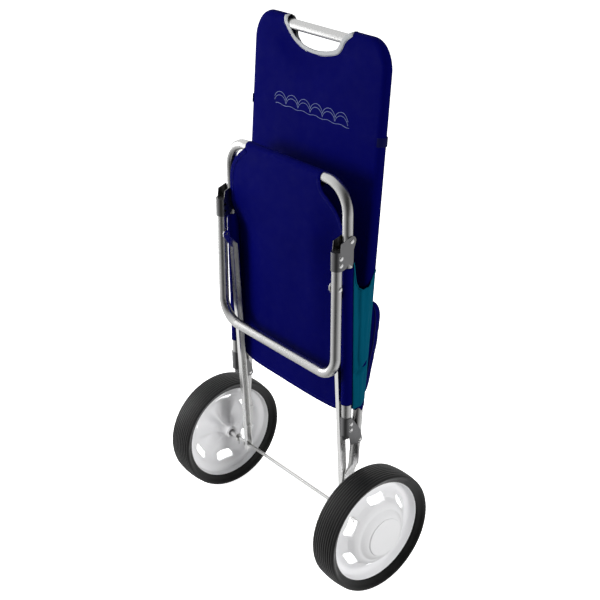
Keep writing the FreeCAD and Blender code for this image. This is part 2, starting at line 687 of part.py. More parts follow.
for name, side in SIDES:
    nodes.append(strut(name, side))
axle = x_cylinder(size["axle_radius"], 0, size["wheel_radius"], -size["axle_half"],
                  size["axle_half"], SHEET + "axle_radius")
axle.Label = "axle"
nodes.append(axle)
clip_at = size["track_half"] + 27.6
washer_at = size["pin_station"] + 2.0
for name, side in SIDES:
    axle_r = size["axle_radius"]
    nodes.append(ring(size["strut_outer"] + 0.02, size["strut_outer"] + 2, 8.5, axle_r,
                      "axle_collar_" + name, side))
    nodes.append(split_pin(name, side))
    nodes.append(ring(washer_at, washer_at + 2, 10.5, axle_r, "hub_washer_" + name, side))
    nodes.append(ring(washer_at + 2.1, size["track_half"] + bush_end() - 0.3, 5.4, axle_r,
                      "hub_spacer_" + name, side))
    nodes.append(ring(clip_at + 0.3, clip_at + 2.3, 9.0, axle_r,
                      "axle_clip_" + name, side))
for name, side in SIDES:
    nodes += [tyre(name, side), rim(name, side), hub_cap(name, side), bush(name, side)]

doc.recompute()
problems = [obj.Label for obj in doc.Objects if {"Invalid", "Error"} & set(obj.State)]
for node in nodes:
    if node.Shape.isNull() or not node.Shape.isValid() or not node.Shape.Solids:
        problems.append(node.Label)
if problems:
    raise RuntimeError("not built: " + ", ".join(problems))
for node in nodes:
    node.Shape.exportStep("parts/%s.step" % node.Label)
    limits = node.Shape.BoundBox
    print("%-22s solids %2d  volume %9.0f  y %7.1f %7.1f  z %7.1f %7.1f" % (
        node.Label, len(node.Shape.Solids), node.Shape.Volume, limits.YMin, limits.YMax,
        limits.ZMin, limits.ZMax))
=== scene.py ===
import bpy
import bmesh
import json
import math
import numpy as np
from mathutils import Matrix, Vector, noise
from mathutils.bvhtree import BVHTree
from mathutils.geometry import delaunay_2d_cdt


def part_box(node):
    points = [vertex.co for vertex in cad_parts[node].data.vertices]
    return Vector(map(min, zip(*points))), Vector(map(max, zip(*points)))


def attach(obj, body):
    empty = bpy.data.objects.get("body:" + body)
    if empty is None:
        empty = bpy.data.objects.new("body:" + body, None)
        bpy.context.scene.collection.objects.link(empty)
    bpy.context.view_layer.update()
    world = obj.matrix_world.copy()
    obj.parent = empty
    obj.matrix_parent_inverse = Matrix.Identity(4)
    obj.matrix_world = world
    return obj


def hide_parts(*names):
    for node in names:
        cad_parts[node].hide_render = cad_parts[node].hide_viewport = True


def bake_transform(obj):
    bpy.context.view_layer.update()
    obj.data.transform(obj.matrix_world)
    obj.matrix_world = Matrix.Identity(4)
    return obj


# Looks of the folding beach cart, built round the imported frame. Metres, +Z up, +Y the rear.
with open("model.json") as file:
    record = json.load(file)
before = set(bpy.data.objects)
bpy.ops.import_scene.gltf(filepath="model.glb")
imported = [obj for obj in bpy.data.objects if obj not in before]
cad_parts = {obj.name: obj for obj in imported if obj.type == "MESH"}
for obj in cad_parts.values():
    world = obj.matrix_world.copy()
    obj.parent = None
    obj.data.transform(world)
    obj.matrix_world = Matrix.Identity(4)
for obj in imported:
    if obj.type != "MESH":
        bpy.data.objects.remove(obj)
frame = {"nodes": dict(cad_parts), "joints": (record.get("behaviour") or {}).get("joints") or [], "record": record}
nodes = frame["nodes"]
joints = {joint["name"]: joint for joint in frame["joints"]}
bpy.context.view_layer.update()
scene = bpy.context.scene
scene.view_settings.view_transform = "Standard"
SIDES = (("left", -1), ("right", 1))

# ---------------------------------------------------------------- driving sizes
TUBE = 0.011                                       # radius of every frame tube
SLEEVE = 0.0122                                    # outer radius of fabric round a tube
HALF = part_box("back_frame_tube")[1].x - TUBE       # tube centre line from the middle
BACK_BEND, BACK_SLOPE = 0.042, 0.072
SEAT_SLOPE, SEAT_FOOT_Y = -0.01285, -0.011
HANDLE_Z, SEAT_BAR_Z = 1.157, 0.907
COVER_LOW = 0.398                                  # bottom hem of the back cover
SEAT_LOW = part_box("seat_cover")[0].z               # bottom hem of the seat sling
SEAT_SLEEVE = (0.422, 0.737)                       # heights of the seat's side sleeves
CLOTH = 0.0008                                     # thickness of the coated canvas


def smoothstep(t):
    t = min(max(t, 0.0), 1.0)
    return t * t * (3 - 2 * t)


def mix(a, b, t):
    return a + (b - a) * t


def bell(distance, width):
    """Smooth bump: 1 in the middle, near 0 two widths away."""
    return math.exp(-(distance / width) ** 2)


def wrinkle(x, y, z, seed, scale):
    """Smooth noise from -1 to 1, the same on each run."""
    return noise.noise(Vector((x * scale + seed, y * scale, z * scale - seed)))


class Lean:
    """A leaning panel's own frame: x across, depth rearward, up along its tubes."""

    def __init__(self, y, z, slope):
        self.y, self.z = y, z
        self.cos, self.sin = math.cos(math.atan(slope)), math.sin(math.atan(slope))

    def at(self, x, depth, up):
        return Vector((x, self.y + depth * self.cos + up * self.sin,
                       self.z - depth * self.sin + up * self.cos))

    def up(self, height):
        return (height - self.z) / self.cos

    def flat(self, points):
        """(x, height) pairs as 2-D points of the panel."""
        return [Vector((x, self.up(height))) for x, height in points]

    def read(self, point):
        """Depth and up of a point in space."""
        back, rise = point.y - self.y, point.z - self.z
        return back * self.cos - rise * self.sin, back * self.sin + rise * self.cos


HINGE = Vector(joints["seat_fold"]["pos_m"])
BACK = Lean(HINGE.y, HINGE.z, BACK_SLOPE)
SEAT = Lean(SEAT_FOOT_Y, HINGE.z, SEAT_SLOPE)
BACK_BAR, SEAT_BAR = BACK.up(HANDLE_Z), SEAT.up(SEAT_BAR_Z)


# ---------------------------------------------------------------- curves and mesh helpers
def curve_through(points, step, closed=False):
    """Catmull-Rom curve through the given 2-D points, cut into steps of about that length."""
    pts = [Vector(p) for p in points]
    count = len(pts)
    spans = count if closed else count - 1
    made = []
    for i in range(spans):
        a, b = pts[i], pts[(i + 1) % count]
        before = pts[i - 1] if closed or i else a * 2 - b
        after = pts[(i + 2) % count] if closed or i + 2 < count else b * 2 - a
        parts = max(1, round((b - a).length / step))
        for k in range(parts):
            t = k / parts
            made.append(0.5 * ((2 * a) + (b - before) * t
                               + (2 * before - 5 * a + 4 * b - after) * t * t
                               + (3 * a - before - 3 * b + after) * t ** 3))
    if not closed:
        made.append(pts[-1].copy())
    return made


def straight(a, b, step):
    """Points from a to b, without b."""
    a, b = Vector(a), Vector(b)
    parts = max(1, round((b - a).length / step))
    return [a.lerp(b, k / parts) for k in range(parts)]


def arc(centre, radius, start, end, step):
    """Points of an arc, angles in degrees, without the last."""
    parts = max(2, round(abs(math.radians(end - start)) * radius / step))
    angles = [math.radians(mix(start, end, k / parts)) for k in range(parts)]
    return [Vector((centre[0] + radius * math.cos(a), centre[1] + radius * math.sin(a)))
            for a in angles]


def border_test(points, border):
    """For 2-D points: which lie inside the closed border, and how far they are from it."""
    p = np.array([[q[0], q[1]] for q in points])
    a = np.array([[q[0], q[1]] for q in border])
    b = np.roll(a, -1, axis=0)
    inside = np.zeros(len(p), bool)
    nearest = np.full(len(p), 1e9)
    for (ax, ay), (bx, by) in zip(a, b):
        crosses = (ay > p[:, 1]) != (by > p[:, 1])
        with np.errstate(divide="ignore", invalid="ignore"):
            at = (bx - ax) * (p[:, 1] - ay) / (by - ay) + ax
        inside ^= crosses & (p[:, 0] < at)
        span = np.array([bx - ax, by - ay])
        t = np.clip(((p - [ax, ay]) @ span) / max(span @ span, 1e-12), 0, 1)
        gap = np.linalg.norm(p - [ax, ay] - t[:, None] * span, axis=1)
        nearest = np.minimum(nearest, gap)
    return inside, nearest


def distance_from(points):
    """Function that gives how far (x, up) is from the nearest of the 2-D points."""
    spots = np.array([[p.x, p.y] for p in points])
    return lambda x, up: float(np.min(np.hypot(spots[:, 0] - x, spots[:, 1] - up)))


def ring_faces(rows, count, closed=False, caps=True, start=0):
    """Quads that join rows of count points, each row a closed ring, and the two end caps."""
    faces = []
    for i in range(rows if closed else rows - 1):
        a, b = start + i * count, start + (i + 1) % rows * count
        faces += [[a + k, a + (k + 1) % count, b + (k + 1) % count, b + k]
                  for k in range(count)]
    if caps and not closed:
        first, last = start, start + (rows - 1) * count
        faces += [[first + k for k in range(count)], [last + k for k in range(count)][::-1]]
    return faces


def grid_faces(rows, columns):
    """Quads of a sheet with rows + 1 lines of columns + 1 points."""
    starts = [i * (columns + 1) + k for i in range(rows) for k in range(columns)]
    return [[a, a + 1, a + columns + 2, a + columns + 1] for a in starts]


def mesh_from(name, points, faces):
    mesh = bpy.data.meshes.new(name)
    mesh.from_pydata([tuple(p) for p in points], [], faces)
    mesh.update()
    mesh.polygons.foreach_set("use_smooth", [True] * len(mesh.polygons))
    obj = bpy.data.objects.new(name, mesh)
    scene.collection.objects.link(obj)
    return obj


def face_towards(obj, direction):
    """Turn an open sheet's normals to a direction."""
    towards = sum((p.normal * p.area for p in obj.data.polygons), Vector())
    if towards.dot(Vector(direction)) < 0:
        obj.data.flip_normals()


def tidy_normals(obj, weld=0.0):
    edit = bmesh.new()
    edit.from_mesh(obj.data)
    if weld:
        bmesh.ops.remove_doubles(edit, verts=edit.verts, dist=weld)
    bmesh.ops.recalc_face_normals(edit, faces=edit.faces)
    edit.to_mesh(obj.data)
    edit.free()
    obj.data.update()


def cut_cloth(name, border, lifts, spacing, rings, facing=None):
    """Cloth cut to a closed 2-D border, triangulated, and lifted into place once for each
    function in lifts. Layers that meet are joined. rings are rows of extra points."""
    inside, gap = border_test(rings, border)
    extra = [p for p, ok, g in zip(rings, inside, gap) if ok and g > 0.0003]
    xs, ys = [p[0] for p in border], [p[1] for p in border]
    lattice = []
    rows = int((max(ys) - min(ys)) / (spacing * 0.87)) + 2
    for row in range(rows):
        shift = spacing / 2 if row % 2 else 0.0
        y = min(ys) + row * spacing * 0.87
        x = min(xs) + shift
        while x < max(xs):
            lattice.append(Vector((x, y)))
            x += spacing
    inside, gap = border_test(lattice, border)
    lattice = [p for p, ok, g in zip(lattice, inside, gap) if ok and g > spacing * 0.5]
    taken = np.array([[p[0], p[1]] for p in extra])
    lattice = [p for p in lattice
               if np.min(np.abs(taken - [p[0], p[1]]).max(axis=1)) > spacing * 0.45]
    points = [Vector((p[0], p[1])) for p in list(border) + extra + lattice]
    flat, _, faces, *_ = delaunay_2d_cdt(points, [], [list(range(len(border)))], 1, 1e-7)
    places, polygons = [], []
    for layer, lift in enumerate(lifts):
        start = len(places)
        places += [lift(p[0], p[1]) for p in flat]
        turn = 1 if layer == 0 else -1
        polygons += [[start + i for i in f][::turn] for f in faces]
    obj = mesh_from(name, places, polygons)
    if len(lifts) > 1:
        tidy_normals(obj, weld=2e-5)
    else:
        face_towards(obj, facing)
    return obj


def thicken(obj, thickness=CLOTH):
    solid = obj.modifiers.new("thickness", "SOLIDIFY")
    solid.thickness, solid.offset, solid.use_rim = thickness, -1.0, True


def lift_normal(lift, x, up, side):
    """Unit normal of a lifted surface, on its rear (+1) or front (-1) side."""
    d = 0.0005
    across = lift(x + d, up) - lift(x - d, up)
    along = lift(x, up + d) - lift(x, up - d)
    normal = across.cross(along)
    if normal.y * side < 0:
        normal = -normal
    return normal.normalized()


def inward_normals(curve, inner_point, closed=False):
    """2-D unit normals of a curve, on the side of inner_point for each curve point."""
    made = []
    last = len(curve) - 1
    for i, p in enumerate(curve):
        a = curve[i - 1] if i or closed else p
        b = curve[(i + 1) % len(curve)] if i < last or closed else p
        t = (b - a).normalized()
        n = Vector((-t.y, t.x))
        towards = inner_point(p) - p
        made.append(n if n.dot(towards) > 0 else -n)
    return made


def strip_on(name, curve, normals, lift, section, side):
    """A strip that follows a curve on a lifted surface. section lists (inward, proud) points
    of its closed cross-section."""
    places = []
    for p, n in zip(curve, normals):
        for inward, proud in section:
            q = p + n * inward
            places.append(lift(q.x, q.y) + lift_normal(lift, q.x, q.y, side) * proud)
    obj = mesh_from(name, places, ring_faces(len(curve), len(section)))
    tidy_normals(obj)
    return obj


def folded_edge(width, proud, behind):
    """Cross-section of a tape folded round a cut edge."""
    return [(width, 0.0001), (width - 0.0005, proud), (width / 2, proud * 1.15),
            (0.0008, proud), (-0.0006, proud * 0.3), (-0.0008, -behind * 0.5),
            (0.0008, -behind), (width / 2, -behind * 1.05), (width, -behind * 0.6)]


def hem_section(width, proud):
    return [(width, 0.0), (width - 0.0006, proud), (width / 2, proud * 1.2),
            (0.0006, proud), (-0.0004, proud * 0.4), (-0.0004, 0.0), (width / 2, -0.0001)]


def stitches(name, rows, pitch=0.0036, length=0.0026, wide=0.0007, high=0.0003):
    """Rows of single stitches. Each row is a list of (point, normal) along a seam."""
    places, polygons = [], []
    for row in rows:
        left = pitch
        for (a, na), (b, _) in zip(row, row[1:]):
            span = (b - a).length
            along = (b - a).normalized()
            across = along.cross(na).normalized() * wide / 2
            while left < span:
                middle = a + along * left
                start = len(places)
                for end, rise in ((-1, 0.0), (-0.55, 1.0), (0.55, 1.0), (1, 0.0)):
                    at = middle + along * end * length / 2 + na * high * rise
                    places.extend([at - across, at + across])
                for k in range(3):
                    i = start + 2 * k
                    polygons.append([i, i + 1, i + 3, i + 2])
                left += pitch
            left -= span
    return mesh_from(name, places, polygons)


def seam_row(curve, lift, side, proud=0.0002):
    return [(lift(p.x, p.y) + lift_normal(lift, p.x, p.y, side) * proud,
             lift_normal(lift, p.x, p.y, side)) for p in curve]


def sweep(name, path, radius, sides=8, closed=False, squeeze=1.0):
    """Round section along a 3-D path. radius is a number or a function of the index."""
    places, rows = [], len(path)
    for i, p in enumerate(path):
        a = path[i - 1] if i or closed else p
        b = path[(i + 1) % rows] if i < rows - 1 or closed else p
        t = (b - a).normalized()
        aside = t.cross(Vector((0, 1, 0)))
        if aside.length < 0.05:
            aside = t.cross(Vector((1, 0, 0)))
        aside.normalize()
        other = t.cross(aside).normalized()
        r = radius(i) if callable(radius) else radius
        for k in range(sides):
            angle = 2 * math.pi * k / sides
            places.append(p + aside * r * math.cos(angle) + other * r * squeeze * math.sin(angle))
    obj = mesh_from(name, places, ring_faces(rows, sides, closed))
    tidy_normals(obj)
    return obj


# ---------------------------------------------------------------- materials
def add_node(tree, kind, inputs=None, **settings):
    """New node. An input is linked when it is given a socket, and set otherwise."""
    node = tree.nodes.new(kind)
    for key, value in settings.items():
        setattr(node, key, value)
    for key, value in (inputs or {}).items():
        if isinstance(value, bpy.types.NodeSocket):
            tree.links.new(value, node.inputs[key])
        else:
            node.inputs[key].default_value = value
    return node


class Finish:
    """One procedural material, built on the Principled shader."""

    def __init__(self, name, colour, rough, **values):
        self.material = bpy.data.materials.new(name)
        self.material.use_nodes = True
        self.tree = self.material.node_tree
        self.shader = self.tree.nodes["Principled BSDF"]
        self.shader.inputs["Base Color"].default_value = (*colour, 1.0)
        self.shader.inputs["Roughness"].default_value = rough
        for key, value in values.items():
            self.shader.inputs[key.replace("_", " ")].default_value = value
        self.place = self.add("ShaderNodeTexCoord").outputs["Object"]

    def add(self, kind, inputs=None, **settings):
        return add_node(self.tree, kind, inputs, **settings)

    def stretched(self, scale):
        return self.add("ShaderNodeMapping", {"Vector": self.place, "Scale": scale}).outputs[0]

    def noise(self, scale, detail=3.0, rough=0.55, vector=None):
        inputs = {"Vector": vector or self.place, "Scale": scale, "Detail": detail,
                  "Roughness": rough}
        return self.add("ShaderNodeTexNoise", inputs).outputs["Fac"]

    def wave(self, scale, direction, distortion, detail=2.0):
        inputs = {"Vector": self.place, "Scale": scale, "Distortion": distortion,
                  "Detail": detail}
        return self.add("ShaderNodeTexWave", inputs, bands_direction=direction).outputs["Fac"]

    def ramp(self, value, low, high, out_low=0.0, out_high=1.0):
        inputs = {"Value": value, "From Min": low, "From Max": high, "To Min": out_low,
                  "To Max": out_high}
        return self.add("ShaderNodeMapRange", inputs).outputs["Result"]

    def math(self, kind, a, b):
        return self.add("ShaderNodeMath", {0: a, 1: b}, operation=kind).outputs[0]

    def blend_colours(self, fac, first, second):
        inputs = {"Factor": fac, 6: first, 7: second}      # 6 and 7 are the colour sockets
        return self.add("ShaderNodeMix", inputs, data_type="RGBA").outputs[2]

    def set(self, socket, value):
        self.tree.links.new(value, self.shader.inputs[socket])

    def bump(self, height, distance, strength=1.0, below=None):
        inputs = {"Height": height, "Distance": distance, "Strength": strength}
        if below:
            inputs["Normal"] = below
        return self.add("ShaderNodeBump", inputs).outputs["Normal"]


def scaled(colour, factor):
    return (*[min(c * factor, 1.0) for c in colour[:3]], 1.0)


def canvas(name, colour, across="X", tint=(0.1, 0.14, 1.0)):
    """Coated oxford canvas: plain weave, slight mottle, soft creases."""
    rough, threads = 0.62, 420.0
    finish = Finish(name, colour, rough, Sheen_Weight=0.015, Sheen_Roughness=0.45,
                    Sheen_Tint=(*tint, 1.0), Specular_IOR_Level=0.012)
    weave = finish.math("MULTIPLY", finish.wave(threads, across, 0.6, 1.0),
                        finish.wave(threads, "Z", 0.6, 1.0))
    mottle = finish.ramp(finish.noise(9.0, 4.0), 0.3, 0.7)
    tone = finish.blend_colours(mottle, scaled(colour, 0.86), scaled(colour, 1.12))
    between_threads = finish.ramp(weave, 0.0, 0.8)
    finish.set("Base Color", finish.blend_colours(between_threads, scaled(colour, 0.72), tone))
    finish.set("Roughness", finish.ramp(finish.noise(40.0), 0.3, 0.7, rough - 0.08, rough + 0.08))
    creases = finish.noise(26.0, 5.0, 0.6, finish.stretched((1.0, 1.0, 0.55)))
    soft = finish.bump(creases, 0.0009, 0.5)
    finish.set("Normal", finish.bump(weave, 0.00018, 0.6, soft))
    return finish.material


def webbing(name, colour):
    """Narrow woven tape with a fine twill."""
    finish = Finish(name, colour, 0.75, Sheen_Weight=0.06, Sheen_Roughness=0.4,
                    Specular_IOR_Level=0.12)
    twill = finish.wave(330.0, "DIAGONAL", 0.4)
    grain = finish.noise(900.0, 2.0)
    tone = finish.blend_colours(twill, scaled(colour, 0.72), scaled(colour, 1.1))
    finish.set("Base Color", tone)
    finish.set("Normal", finish.bump(finish.math("ADD", twill, grain), 0.0002, 0.6))
    return finish.material


def metal(name, colour, rough, streaks=(260.0, 260.0, 9.0), worn=0.15, strength=0.03):
    """Drawn or rolled metal: fine lines along the piece, uneven gloss, handling marks."""
    finish = Finish(name, colour, rough, Metallic=1.0)
    lines = finish.noise(1.0, 3.0, 0.6, finish.stretched(streaks))
    clouds = finish.noise(22.0, 4.0)
    scuffs = finish.ramp(finish.noise(75.0, 6.0, 0.7), 0.60, 0.72)
    tone = finish.blend_colours(clouds, scaled(colour, 0.95), scaled(colour, 1.03))
    marked = finish.blend_colours(finish.math("MULTIPLY", scuffs, worn), tone,
                                  scaled(colour, 0.72))
    finish.set("Base Color", marked)
    uneven = finish.ramp(finish.math("ADD", finish.math("MULTIPLY", lines, 0.5),
                                     finish.math("MULTIPLY", clouds, 0.5)),
                         0.3, 0.7, rough - 0.04, rough + 0.06)
    finish.set("Roughness", uneven)
    finish.set("Normal", finish.bump(lines, 0.0001, strength))
    return finish.material


def plastic(name, colour, rough, glow=0.0):
    """Moulded plastic: orange-peel grain, faint flow marks and soft scuffs."""
    finish = Finish(name, colour, rough, Subsurface_Weight=glow, Subsurface_Scale=0.004,
                    Subsurface_Radius=(1.0, 1.0, 1.0))
    flow = finish.noise(14.0, 4.0)
    scuffs = finish.ramp(finish.noise(120.0, 6.0, 0.7), 0.60, 0.75)
    tone = finish.blend_colours(flow, scaled(colour, 0.95), scaled(colour, 1.02))
    marked = finish.blend_colours(finish.math("MULTIPLY", scuffs, 0.35), tone,
                                  scaled(colour, 0.84))
    finish.set("Base Color", marked)
    finish.set("Roughness", finish.ramp(finish.noise(60.0), 0.3, 0.7, rough - 0.05, rough + 0.08))
    finish.set("Normal", finish.bump(finish.noise(700.0, 2.0), 0.00006, 0.4))
    return finish.material


def rubber(name, colour, rough):
    """Tyre rubber: matt, dusty in patches, slightly pitted."""
    finish = Finish(name, colour, rough, Specular_IOR_Level=0.5, Sheen_Weight=0.01,
                    Sheen_Roughness=0.5)
    dust = finish.ramp(finish.noise(30.0, 5.0, 0.65), 0.42, 0.72)
    tone = finish.blend_colours(finish.math("MULTIPLY", dust, 0.55), scaled(colour, 0.85),
                                scaled(colour, 1.9))
    finish.set("Base Color", tone)
    finish.set("Roughness", finish.ramp(dust, 0, 1, rough - 0.05, rough + 0.12))
    finish.set("Normal", finish.bump(finish.noise(1500.0, 2.0), 0.00008, 0.4))
    return finish.material


NAVY = (0.0012, 0.0015, 0.088)
TEAL = (0.0010, 0.098, 0.170)
FINISHES = {name: make(name, *values) for name, make, *values in (
    ("aluminium_tube", metal, (0.64, 0.64, 0.635), 0.27),
    ("aluminium_strut", metal, (0.94, 0.94, 0.93), 0.27),
    ("steel_bracket", metal, (0.215, 0.215, 0.22), 0.30, (90.0, 90.0, 40.0), 0.3, 0.06),
    ("rivet_steel", metal, (0.92, 0.92, 0.92), 0.22, (200.0, 200.0, 200.0)),
    ("axle_steel", metal, (0.80, 0.80, 0.79), 0.28, (9.0, 300.0, 300.0)),
    ("navy_canvas", canvas, NAVY),
    ("teal_canvas", canvas, TEAL, "Y", (0.05, 0.8, 1.0)),
    ("navy_webbing", webbing, (0.002, 0.003, 0.045)),
    ("grey_binding", webbing, (0.42, 0.43, 0.44)),
    ("black_plastic", plastic, (0.012, 0.012, 0.012), 0.5),
    ("white_plastic", plastic, (0.89, 0.89, 0.90), 0.36, 0.12),
    ("grey_plastic", plastic, (0.20, 0.20, 0.21), 0.45),
    ("tyre_rubber", rubber, (0.0055, 0.0055, 0.0055), 0.40),
)}
THREAD = webbing("navy_thread", (0.012, 0.016, 0.16))
PRINT = plastic("wave_print", (0.10, 0.13, 0.27), 0.5)


def finish_cad_nodes():
    """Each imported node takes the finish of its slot."""
    for row in frame["record"]["subparts"]:
        mesh = nodes[row["node"]].data
        mesh.materials.clear()
        mesh.materials.append(FINISHES[row["material_slot"]])


def coat(obj, slot, *stands_for, finish=None):
    """Wear a slot's finish unless another is given, and stand for CAD nodes."""
    obj.data.materials.append(finish or FINISHES[slot])
    if stands_for:
        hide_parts(*stands_for)
    return obj


def dress(obj, body, slot, *stands_for, finish=None):
    """Ride on a body and wear a finish."""
    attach(obj, body)
    return coat(obj, slot, *stands_for, finish=finish)


# ---------------------------------------------------------------- back cover
COVER_RISE = 0.0068                                # how far the loose sock stands over the bar
HOLE_LOW = BACK.up(1.117)                          # lowest point of the hand opening


def beyond_back(x, up):
    """How far a point lies outside the back tube's centre line; negative inside."""
    across = max(abs(x) - (HALF - BACK_BEND), 0.0)
    above = max(up - (BACK_BAR - BACK_BEND), 0.0)
    return math.hypot(across, above) - BACK_BEND


def hand_hole():
    """Lower edge of the hand opening, from its left end on the bar to its right end."""
    points = [(-0.0995, 1.1691), (-0.096, 1.160), (-0.089, 1.149), (-0.076, 1.1325),
              (-0.052, 1.1212), (-0.021, 1.1172), (0.011, 1.1198), (0.046, 1.1292),
              (0.064, 1.1420), (0.077, 1.1545), (0.091, 1.1640), (0.0995, 1.1691)]
    return curve_through(BACK.flat(points), 0.004)


HOLE = hand_hole()
from_hole = distance_from(HOLE)


def cover_half_depth(x, up):
    """Distance of each cover layer from the tubes' plane."""
    out = max(beyond_back(x, up), 0.0)
    full = math.sqrt(max(SLEEVE ** 2 - out ** 2, 0.0))
    edge = mix(0.0011, SLEEVE, smoothstep((up - HOLE_LOW) / (BACK_BAR - HOLE_LOW)))
    near = mix(edge, SLEEVE, smoothstep(from_hole(x, up) / 0.075))
    return min(full, near)


def cover_ripple(x, up, seed):
    """Slack between the rails: a shallow hollow and faint tension folds from the corners."""
    inset = min(max(-beyond_back(x, up), 0.0) / 0.05, 1.0)
    hollow = 0.0022 * math.cos(math.pi * x / (2 * HALF)) * inset
    folds = 0.0011 * wrinkle(x, 0.0, up * 0.45, seed, 11.0) * inset
    low = smoothstep((0.16 - (up - BACK.up(COVER_LOW))) / 0.16)
    return hollow - folds - 0.0012 * low * wrinkle(x, 0.0, up * 0.3, seed + 4, 26.0) * inset


def loose(x, up):
    """The sock stands a little proud of the bar and of its bends."""
    near_top = smoothstep((up - (BACK_BAR - 0.035)) / 0.045)
    from_side = smoothstep((0.2045 - abs(x)) / 0.012)
    return up + COVER_RISE * near_top * from_side


def cover_front(x, up):
    return BACK.at(x, -cover_half_depth(x, up) + cover_ripple(x, up, 3.0), loose(x, up))


def cover_rear(x, up):
    return BACK.at(x, cover_half_depth(x, up) - cover_ripple(x, up, 8.0) * 0.5, loose(x, up))


LAYERS = (("front", cover_front, -1), ("rear", cover_rear, 1))


def off_hole(p):
    """A point on the fabric's side of the hand opening's edge."""
    return Vector((p.x * 2.2, p.y - 0.4))


def build_back_cover():
    coarse, fine = 0.009, 0.006                            # point spacing on straights and bends
    low, edge, bend = BACK.up(COVER_LOW), HALF + SLEEVE, BACK_BEND + SLEEVE
    top, corner = BACK_BAR + SLEEVE, (HALF - BACK_BEND, BACK_BAR - BACK_BEND)
    border = straight((-edge, low), (edge, low), coarse)
    border += straight((edge, low), (edge, corner[1]), coarse)
    border += arc(corner, bend, 0, 90, fine)
    border += straight((corner[0], top), (HOLE[-1].x, top), fine)
    border += HOLE[::-1]
    border += straight((HOLE[0].x, top), (-corner[0], top), fine)[1:]
    border += arc((-corner[0], corner[1]), bend, 90, 180, fine)
    border += straight((-edge, corner[1]), (-edge, low), coarse)
    rings = []
    for angle in (78, 64, 50, 36, 22, 8, -8):
        out = SLEEVE * math.sin(math.radians(angle))
        r = BACK_BEND + out
        rings += straight((HALF + out, low), (HALF + out, corner[1]), coarse)
        rings += arc(corner, r, 0, 90, fine)
        rings += straight((corner[0], BACK_BAR + out), (-corner[0], BACK_BAR + out), fine)
        rings += arc((-corner[0], corner[1]), r, 90, 180, fine)
        rings += straight((-HALF - out, corner[1]), (-HALF - out, low), coarse)
    for inset in (0.003, 0.008, 0.014):
        rings += [p + n * inset for p, n in zip(HOLE, inward_normals(HOLE, off_hole))]
    cover = cut_cloth("back_cover_cloth", border, (cover_front, cover_rear), 0.010, rings)
    thicken(cover)
    return dress(cover, "back_frame", "navy_canvas", "back_cover")


def build_cover_trim():
    trim, rows = [], []
    normals = inward_normals(HOLE, off_hole)
    for name, lift, side in LAYERS:
        tape = strip_on("hand_hole_binding_" + name, HOLE, normals, lift,
                        folded_edge(0.0095, 0.0007, 0.0010), side)
        trim.append(dress(tape, "back_frame", "grey_binding"))
    low = BACK.up(COVER_LOW)
    line = straight((-HALF - 0.008, low), (HALF + 0.008, low), 0.008)
    up = [Vector((0, 1))] * len(line)
    for name, lift, side in LAYERS:
        hem = strip_on("cover_hem_" + name, line, up, lift, hem_section(0.014, 0.0007), side)
        trim.append(dress(hem, "back_frame", "navy_canvas"))
        for inset in (0.0115, 0.0085):
            rows.append(seam_row([p + Vector((0, inset)) for p in line], lift, side, 0.0009))
    for _, across in SIDES:
        x = across * (HALF - 0.016)
        rail = straight((x, low + 0.02), (x, BACK_BAR - 0.05), 0.008)
        rows.append(seam_row(rail, cover_rear, 1))
    tape_line = [p + n * 0.0080 for p, n in zip(HOLE, normals)][3:-3]
    rows += [seam_row(tape_line, lift, side, 0.0009) for _, lift, side in LAYERS]
    trim.append(dress(stitches("cover_stitching", rows), "back_frame", "navy_canvas",
                      finish=THREAD))
    return trim


def build_wave_print():
    """A plain row of wave crests where a printed mark would be."""
    left, right, middle = -0.121, 0.112, BACK.up(1.0075)
    crests, roll, height, phase = 6, 0.96, 0.0075, 0.8
    pitch = (right - left) / crests / (2 * math.pi)
    steps, lines, trim = 40 * crests, [], []
    for lowered in (0.0, height):
        turns = [2 * math.pi * crests * i / steps for i in range(steps + 1)]
        lines.append([Vector((left + pitch * (t - roll * math.sin(t + phase)),
                              middle - lowered - height * math.cos(t + phase)))
                      for t in turns])
    lines.append([Vector((mix(left, right, i / 60),
                          middle - 0.0185 + 0.0013 * math.sin(i * 0.62))) for i in range(61)])
    section = [(-0.0005, 0.0001), (-0.0005, 0.00035), (0.0005, 0.00035), (0.0005, 0.0001)]
    for number, line in enumerate(lines, start=1):
        turned = []
        for i, p in enumerate(line):
            a, b = line[max(i - 1, 0)], line[min(i + 1, len(line) - 1)]
            t = (b - a).normalized()
            turned.append(Vector((-t.y, t.x)))
        band = strip_on("wave_print_%d" % number, line, turned, cover_front, section, -1)
        trim.append(dress(band, "back_frame", "grey_binding", finish=PRINT))
    return trim


# ---------------------------------------------------------------- seat sling
BAR_HALF = 0.122                                   # half length of the sleeve on the front bar
WRAP = math.pi * SLEEVE
FLAP = 0.034                                       # what hangs behind the bar, sewn to the panel


